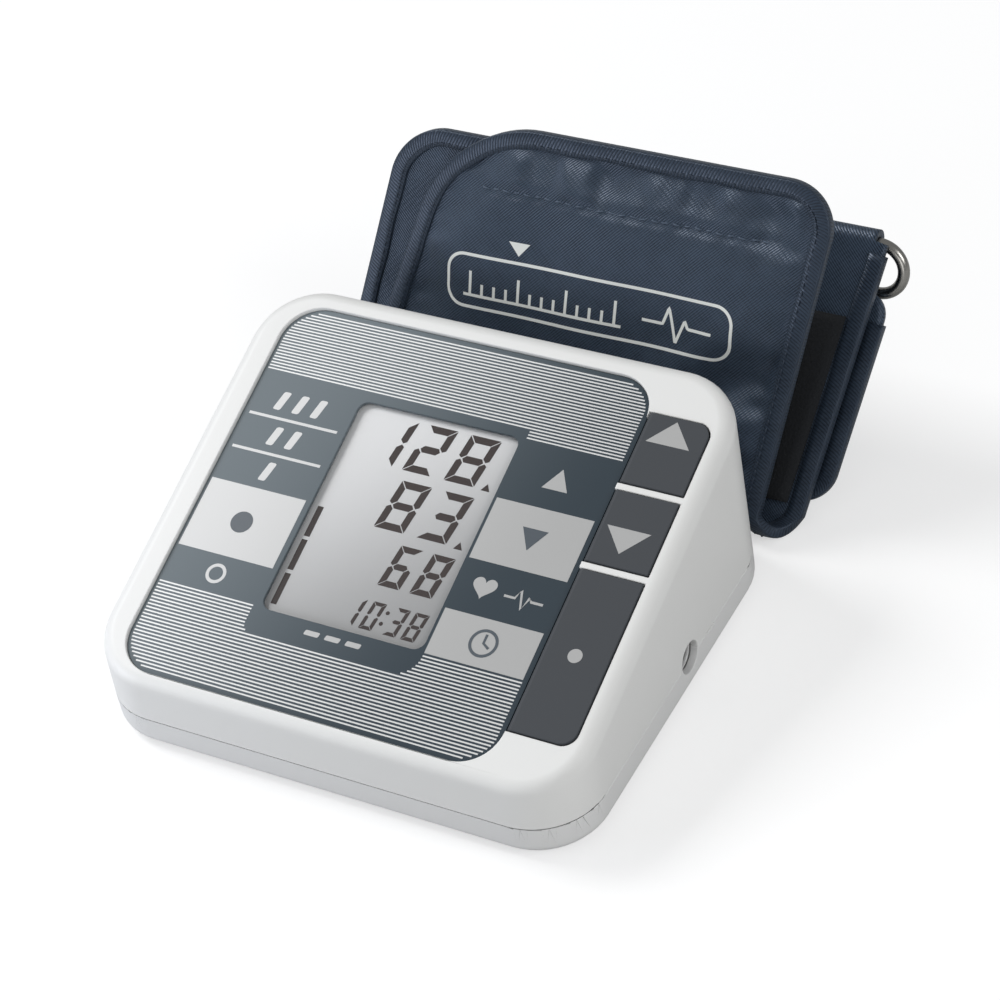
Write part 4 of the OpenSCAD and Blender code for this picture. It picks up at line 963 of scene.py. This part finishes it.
u = rows_up(UNDER_FOOT, UNDER_LEN, UNDER_R, 40)
cut = draw_in(u, UNDER_LEN, UNDER_R)
under, under_area = layer("cuff_second_flap", tail_at, u, under_left(u) + cut, under_right(u) - cut,
                          -UNDER_N, UNDER_T, nylon, "cloth", ripple=under_ripple)
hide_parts("cuff_underflap")

# The rear cloth's place behind the back, its foot with its radius, and its top, drawn in.
REAR_N, REAR_FOOT, REAR_R, REAR_TOP, REAR_DRAW = 5.4, 4.0, 8.0, 61.1, 7.0


def rear_left(u): return back_left(u) + 1
def rear_right(u): return back_right(u) + 3.4


def rear_ripple(x, u):
    """The swelling over the bladder, and a low slanting wave."""
    swell = 2.4 * hump(u, 12, 42.1) * hump(x - rear_left(u), 12, 109)
    return swell + 0.25 * np.sin(x / 6.0 + u / 9.0) * hump(u, 4, 57)


foot_u = REAR_FOOT + REAR_R - rows_up(0, REAR_R, REAR_R, 1, 10)[::-1]
middle_u = np.linspace(REAR_FOOT + REAR_R, REAR_TOP - REAR_DRAW, 40)[1:]
top_u = REAR_TOP - REAR_DRAW + REAR_DRAW * np.sin(np.radians(np.linspace(0, 90, 10)))[1:]
u = np.unique(np.round(np.concatenate([foot_u, middle_u, top_u]), 5))
cut = draw_in(u, REAR_TOP, REAR_DRAW) + draw_in(-u, -REAR_FOOT, REAR_R)
rear, rear_area = layer("cuff_rear_cloth", back_at, u, rear_left(u) + cut, rear_right(u) - cut,
                        REAR_N, CLOTH_T, nylon, "cloth", ripple=rear_ripple)
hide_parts("cuff_back")

# The rear cloth's own hem, round the ring's lower bar, in every second column.
top_left, top_right = rear_left(REAR_TOP), rear_right(REAR_TOP)
rear_x = top_left + REAR_DRAW + (top_right - top_left - 2 * REAR_DRAW) * share[::2]
x, u, middle = hem(rear_x, REAR_TOP, 8, REAR_N)
vertices, faces = sheet_mesh(middle, hem_normal[:, ::2], CLOTH_T)
piece("cuff_rear_hem", vertices, faces, "monitor", nylon, uv=flat_uv(x, u))

# The bladder lies 12 mm in from the back's sides, 3 mm thick at its rim and thicker inside.
RIM_IN, BLADDER_W, BLADDER_U0, BLADDER_U1, BLADDER_N, BLADDER_T = 12, 108, 14, 51.1, 2.7, 3.0
u = np.linspace(BLADDER_U0, BLADDER_U1, 30)
x = (back_left(u) + RIM_IN)[:, None] + BLADDER_W * np.linspace(0, 1, 60)
u = u[:, None]
bulge = 1.1 * hump(u, BLADDER_U0, 37.1) * hump(x - back_left(u), RIM_IN, BLADDER_W)
middle = back_at(x, u, BLADDER_N + bulge)
normal = np.broadcast_to(directions(back_at)[1], middle.shape)
vertices, faces = sheet_mesh(middle, normal, BLADDER_T + 2 * bulge)
bladder = piece("cuff_air_bladder", vertices, faces, "monitor", bladder_skin)
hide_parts("cuff_bladder")

u = np.linspace(40, 80, 20)
hooks, hook_area = layer("cuff_hooks", tail_at, u, tail_left(u) + 24, tail_right(u) - 14,
                         -1.45, 0.8, hook_cloth, "hook_loop", 40)
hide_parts("hook_patch")
u = np.linspace(3, 54, 24)
loops, loop_area = layer("cuff_loops", back_at, u, back_left(u) + 5, back_right(u) - 4.5,
                         -1.55, 1.0, hook_cloth, "hook_loop", 40)
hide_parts("loop_patch")
print("areas in mm2: flap", round(under_area), "rear", round(rear_area),
      "hooks", round(hook_area), "loops", round(loop_area))

# %% [markdown]
# ## Binding tape
#
# A woven tape is folded over every raw edge and sewn down. It is swept along the edge with a
# C-shaped section, whose outer corners are round and whose width wavers by a quarter of a
# millimetre, as sewn tape does.

# %% Paths of the edges


def side(place, sign, edge_x, us, slant, n=0.0):
    """Stops along a side, as point, outward direction and cloth normal."""
    up, out = directions(place)
    points = place(edge_x(us), us, n)
    outward = sign * np.array([1.0, 0, 0]) - sign * slant * up
    outward = outward / np.linalg.norm(outward)
    return points, np.broadcast_to(outward, points.shape), np.broadcast_to(out, points.shape)


def round_corner(place, sign, way, edge_x, slant, end, r, angles, n=0.0):
    """Stops round a corner of radius r: u = end - way r (1 - sin a), drawn in by r (1 - cos a)."""
    a = np.radians(angles)
    u = end - way * r * (1 - np.sin(a))
    up, out = directions(place)
    points = place(edge_x(u) - sign * r * (1 - np.cos(a)), u, n)
    outward = (sign * np.cos(a))[:, None] * np.array([1.0, 0, 0]) + (
        way * np.sin(a) - sign * slant * np.cos(a))[:, None] * up
    outward /= np.linalg.norm(outward, axis=1, keepdims=True)
    return points, outward, np.broadcast_to(out, points.shape)


def straight(a, b, count=60):
    """Stops between the last of a and the first of b."""
    t = np.linspace(0, 1, count)[1:-1, None]
    mixed = [a[k][-1] * (1 - t) + b[k][0] * t for k in range(3)]
    return mixed[0], mixed[1] / np.linalg.norm(mixed[1], axis=1, keepdims=True), mixed[2]


def round_end(place, way, end, left, right, n=0.0):
    """Runs of stops along the left side, over the end and back along the right side. left and
    right are (edge, slant, corner radius, heights)."""
    runs = []
    for sign, (edge_x, slant, r, us), angles in (
            (-1, left, np.arange(0, 91, 5.0)), (1, right, np.arange(90, -1, -5.0))):
        runs.append(side(place, sign, edge_x, us, slant, n))
        runs.append(round_corner(place, sign, way, edge_x, slant, end, r, angles, n))
    left_side, left_corner, right_side, right_corner = runs
    top = straight(left_corner, right_corner)
    return [left_side, left_corner, top, right_corner, right_side]


def fold_edge(sign, f):
    """Stops round the fold, f from 0 at the tail to 1 at the back."""
    out = fold_out(f)
    points = np.array([0, FOLD_Y, FOLD_Z]) + FOLD_R * out
    points[:, 0] = fold_ends(f)[sign > 0]
    return points, np.broadcast_to([float(sign), 0, 0], points.shape), out


def chain(*runs):
    return [np.concatenate([run[k] for run in runs]) for k in range(3)]


inner, climb = np.linspace(0, 1, 17)[1:-1], np.linspace(0, 71, 36)
strip_stops = chain(
    side(back_at, -1, back_left, climb[::-1], BACK_SLANT), fold_edge(-1, inner[::-1]),
    *round_end(tail_at, 1, TAIL_LEN,
               (tail_left, TAIL_SLANT_L, CORNER_L, np.linspace(0, 62.5, 36)),
               (tail_right, TAIL_SLANT_R, CORNER_R, np.linspace(74.5, 0, 40))),
    fold_edge(1, inner), side(back_at, 1, back_right, climb, BACK_SLANT))
under_stops = chain(*round_end(
    tail_at, 1, UNDER_LEN, (under_left, UNDER_SLANT, UNDER_R, np.linspace(UNDER_FOOT, 70, 36)),
    (under_right, TAIL_SLANT_R, UNDER_R, np.linspace(70, UNDER_FOOT, 36)), -UNDER_N))
rear_stops = chain(*round_end(
    back_at, -1, REAR_FOOT, (rear_left, BACK_SLANT, REAR_R, np.linspace(53.1, 14, 24)),
    (rear_right, BACK_SLANT, REAR_R, np.linspace(14, 53.1, 24)), REAR_N))


def binding(name, stops, thick):
    """Tape swept along stops. Its section is the cloth's slot, then an outer line with a round
    nose: (outward, height) pairs, the width wavering by about 0.25 mm along the way."""
    point, outward, normal = stops
    far = travelled(point)
    i, e = thick / 2 + 0.05, 0.15
    o, f = i + TAPE_T, e + TAPE_T
    nose = [(f - 0.5 + 0.5 * math.cos(a), -o + 0.5 + 0.5 * math.sin(a))
            for a in np.radians([-90, -60, -30, 0])]
    half = [(-1.0, -i), (-1.0, -o + 0.3), (-0.93, -o), (-0.55, -o - 0.1), (-0.2, -o - 0.06), *nose]
    section = np.array(half + [(a, -b) for a, b in half[::-1]] + [(e, i), (e, -i)])
    out, high = section.T
    waver = TAPE_W + 0.22 * np.sin(far / 6.1) * np.sin(far / 17.0 + 1) + 0.1 * np.sin(far / 2.7)
    depth = np.where(out < -0.1, out * waver[:, None], out)
    lift = high * (1 + 0.05 * np.sin(far / 3.3)[:, None] * (out < 0))
    rings = point[:, None] + depth[..., None] * outward[:, None] + lift[..., None] * normal[:, None]
    vertices, faces = sweep(world(rings))
    around = np.linspace(0, 2 * TAPE_W + 3, len(section))
    uv = np.stack(np.broadcast_arrays(around * MM, far[:, None] * MM), axis=-1).reshape(-1, 2)
    made = piece(name, vertices, faces, "monitor", tape_cloth, uv=uv)
    return made, far


edges = {"strip": (strip_stops, CLOTH_T), "flap": (under_stops, UNDER_T),
         "rear": (rear_stops, CLOTH_T)}
tapes = {label: binding(f"cuff_{label}_binding", *edge) for label, edge in edges.items()}
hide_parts("cuff_binding")
print("binding lengths in mm:", [round(far[-1]) for _, far in tapes.values()])

# %% [markdown]
# ## Stitches
#
# Lock stitches 2.4 mm apart hold the tape down, and a longer row crosses the tail where a
# patch is sewn on behind. Each stitch is a short thread that dips into the cloth at its ends.

# %% Thread


def stitches(name, centres, along, up, length, radius, material=thread):
    """A thread at each centre: p = c + along a(t) + up b(t) + section, with b falling at the
    ends as (1 - (2t - 1)^2)."""
    t = np.linspace(0, 1, 6)
    ring = np.radians(np.arange(0, 360, 60))
    fat = np.array([0.45, 0.9, 1, 1, 0.9, 0.45])
    sideways = np.cross(along, up)
    a = (t - 0.5) * length
    b = (1 - (2 * t - 1) ** 2) * radius * 1.3 - radius * 0.7
    centre = centres[:, None] + along[:, None] * a[None, :, None] + up[:, None] * b[None, :, None]
    around = np.cos(ring)[:, None] * sideways[:, None, None] + (
        np.sin(ring)[:, None] * up[:, None, None])
    rings = centre[:, :, None] + radius * fat[:, None, None] * around
    count = len(centres)
    start = (np.arange(count) * len(t) * len(ring))[:, None, None]
    quads = (grid_faces(len(t), len(ring), wrap_columns=True)[None] + start).reshape(-1, 4)
    ends = (np.stack([np.arange(6), np.arange(35, 29, -1)])[None] + start).reshape(-1, 6)
    return piece(name, world(rings.reshape(-1, 3)), [quads, ends], "monitor", material)


def along_tape(stops, far, thick, pitch=2.4, inset=1.1):
    """Places of stitches near the tape's inner edge, with their two directions."""
    at = np.arange(pitch, far[-1] - pitch, pitch)
    point, outward, normal = (
        np.stack([np.interp(at, far, a[:, k]) for k in range(3)], axis=1) for a in stops)
    centres = point - outward * (TAPE_W - inset) + normal * (thick / 2 + TAPE_T + 0.18)
    return centres, np.cross(outward, normal), normal


for label, (stops, thick) in edges.items():
    centres, along, up = along_tape(stops, tapes[label][1], thick)
    stitches("cuff_stitches_" + label, centres, along, up, 1.7, 0.17, tape_thread)

# The seam across the tail: every stitch leans a little the other way than the one before it.
seam_x = np.arange(SEAM_X0, SEAM_X1, 3.1)
seam_u = SEAM_U + 0.18 * np.sin(seam_x * 1.9)
centres = tail_at(seam_x, seam_u, tail_ripple(seam_x, seam_u) + CLOTH_T / 2 + 0.1)
lean = (np.arange(len(seam_x)) % 2 * 2 - 1)[:, None] * 0.16
tail_up, out = directions(tail_at)
along = np.array([1.0, 0, 0]) + lean * tail_up
along /= np.linalg.norm(along, axis=1, keepdims=True)
stitches("cuff_patch_seam", centres, along, np.broadcast_to(out, along.shape), 2.3, 0.24)
print("stitches in the seam:", len(seam_x))

# %% [markdown]
# ## Print on the cuff
#
# The real cuff carries a white printed guide. Here its place holds a plain mark: a row of ticks
# on a base line and a pulse trace in a round-cornered frame, with an index arrow above. The ink
# follows every ripple of the cloth, because it is placed through the same formula.

# %% Cloth print


def on_cloth(x, u, h):
    """A point on the front of the tail, h above the cloth, ripples included."""
    return world(tail_at(x, u, tail_ripple(x, u) + CLOTH_T / 2 + h))


def cloth_line(points, width=1.0, closed=False):
    return stroke(resample(points, 0.6), width, on_cloth, -0.05, 0.06, closed)


def cloth_patch(outline):
    """A filled flat shape on the cloth, cut into strips that follow the ripples: the outline's
    left and right ends at each height."""
    outline = np.asarray(outline, float)
    heights = np.linspace(outline[:, 1].min() + 0.02, outline[:, 1].max() - 0.02, 9)
    ends = []
    for h in heights:
        a, b = outline, np.roll(outline, -1, axis=0)
        cut = (a[:, 1] - h) * (b[:, 1] - h) < 0
        t = (h - a[cut, 1]) / (b[cut, 1] - a[cut, 1])
        x = a[cut, 0] + t * (b[cut, 0] - a[cut, 0])
        ends.append((x.min(), x.max()))
    x0, x1 = np.array(ends).T
    ring = [on_cloth(x, heights, h) for x, h in ((x0, 0.06), (x1, 0.06), (x1, -0.05), (x0, -0.05))]
    return sweep(np.stack(ring, axis=1))


frame_line = rounded(-31, 40.5, 53, 55.0, (5, 5, 5, 5), 10)
frame_line = resample(np.vstack([frame_line, frame_line[:1]]), 0.6)[:-1]
trace = [(27, 47.0), (33.0, 47.0), (34.6, 51.6), (37.2, 42.6), (39.4, 49.0), (40.4, 47.0),
         (47.4, 47.0)]
ticks = [(-24 + k * 3.6, 50.5 if k % 4 == 0 else 47.2) for k in range(13)]
printed = [cloth_line(frame_line, 0.85, closed=True),
           *(cloth_line([(x, 44.0), (x, top)], 0.8) for x, top in ticks),
           cloth_line([(-26, 43.8), (21.2, 43.8)], 0.8),
           cloth_line(trace, 0.8),
           cloth_patch([(-13.2, 60.6), (-7.0, 60.6), (-10.1, 56.9)])]
ink("cuff_print", printed, cloth_ink)

# %% [markdown]
# ## Table, light and camera
#
# The picture is a studio cut-out: everything round the object is plain white. The table keeps
# a soft shadow near the object and fades to white beyond it. A broad lamp overhead lights the
# sloped face. A small low one near the left rakes the cloth, so that its folds and puckers
# show, and two weak ones keep the right flank and the front wall at a light grey.

# %% Stage
# The table is 6 m wide and lies 0.02 mm lower than the feet. Its own light, which only the
# camera sees, rises from 0.55 to 1 between 0.4 and 1.2 m from the object.
HALF, BELOW = 3.0, 0.00002
FADE = {1: 0.4, 2: 1.2, 3: 0.55, 4: 1.0}
WHITE = (1.0, 1.0, 1.0, 1.0)


def seen_rays(tree):
    """1 for rays that show the background itself: from the camera, or through a clear part."""
    path = add(tree, "LightPath").outputs
    return maths(tree, "MAXIMUM", path["Is Camera Ray"], path["Is Transmission Ray"])


floor_white = bpy.data.materials.new("white_studio_table")
tree = emptied(floor_white)
paper = add(tree, "BsdfDiffuse", {"Color": colour("#c4c4c4")})
place = add(tree, "TexCoord")
away = add(tree, "VectorMath", {0: place.outputs["Object"]}, operation="LENGTH")
fade = add(tree, "MapRange", {0: away.outputs["Value"], **FADE}, interpolation_type="SMOOTHSTEP")
lift = maths(tree, "MULTIPLY", seen_rays(tree), fade.outputs[0])
glow = add(tree, "Emission", {"Color": WHITE, "Strength": lift})
total = add(tree, "AddShader", {0: paper.outputs[0], 1: glow.outputs[0]})
add(tree, "OutputMaterial", {"Surface": total.outputs[0]})
mesh = bpy.data.meshes.new("table")
corners = [(x, y, -BELOW) for x, y in ((-HALF, -HALF), (HALF, -HALF), (HALF, HALF), (-HALF, HALF))]
mesh.from_pydata(corners, [], [(0, 1, 2, 3)])
mesh.materials.append(floor_white)
table = put("table", mesh)

sky = bpy.data.worlds.new("studio")
bpy.context.scene.world = sky
tree = emptied(sky)
lit = add(tree, "Background", {"Color": (0.96, 0.98, 1.0, 1.0), "Strength": 0.3})
bright = add(tree, "Background", {"Color": WHITE, "Strength": 1.0})
mixed = add(tree, "MixShader", {0: seen_rays(tree), 1: lit.outputs[0], 2: bright.outputs[0]})
add(tree, "OutputWorld", {"Surface": mixed.outputs[0]})


def lamp(name, place, aim, size, power, tint="#ffffff"):
    """A square area lamp at place, turned to aim, both in metres."""
    data = bpy.data.lights.new(name, "AREA")
    data.shape = "SQUARE"
    data.size = size
    data.energy = power
    data.color = colour(tint)[:3]
    made = put(name, data)
    made.location = place
    made.rotation_mode = "QUATERNION"
    made.rotation_quaternion = (Vector(aim) - Vector(place)).to_track_quat("-Z", "Y")


lamp("overhead", (-1.3, 0.1, 1.45), (0, 0, 0.03), 0.8, 20.0)
lamp("near_left", (-0.3, -0.28, 0.1), (-0.02, 0.04, 0.06), 0.15, 0.42, "#eef3ff")
lamp("right", (0.85, -0.15, 0.6), (0, 0, 0.03), 0.5, 2.9)
lamp("front", (0.35, -0.85, 0.2), (0, 0, 0.03), 0.4, 0.8)

# %% Camera
# Focal length in thousandths of the picture's width, the view's angles in degrees, and where
# the camera stands in case millimetres.
FOCUS, VIEW_AZ, VIEW_EL, VIEW_ROLL = 3117.8, 35.04, 41.55, -11.05
STAND, SENSOR = (354.2, -407.4, 562.4), 36.0


def camera_axes(az, el, roll):
    """Right, up and back of a camera at an azimuth and elevation, rolled about its view."""
    az, el, roll = (math.radians(a) for a in (az, el, roll))
    back = np.array([math.sin(az) * math.cos(el), -math.cos(az) * math.cos(el), math.sin(el)])
    right = np.cross(-back, [0, 0, 1])
    right /= np.linalg.norm(right)
    up = np.cross(right, -back)
    c, s = math.cos(roll), math.sin(roll)
    return c * right + s * up, -s * right + c * up, back


camera_data = bpy.data.cameras.new("camera")
camera_data.sensor_width = SENSOR
camera_data.lens = FOCUS / 1000 * SENSOR
camera_data.clip_start = 0.01
camera = put("camera", camera_data)
axes = np.column_stack([*camera_axes(VIEW_AZ, VIEW_EL, VIEW_ROLL), world(STAND)])
camera.matrix_world = Matrix([*axes.tolist(), [0, 0, 0, 1]])
bpy.context.scene.camera = camera
bpy.context.scene.view_settings.view_transform = "Standard"
print("camera at", [round(v, 4) for v in camera.location], "lens", round(camera_data.lens, 2))
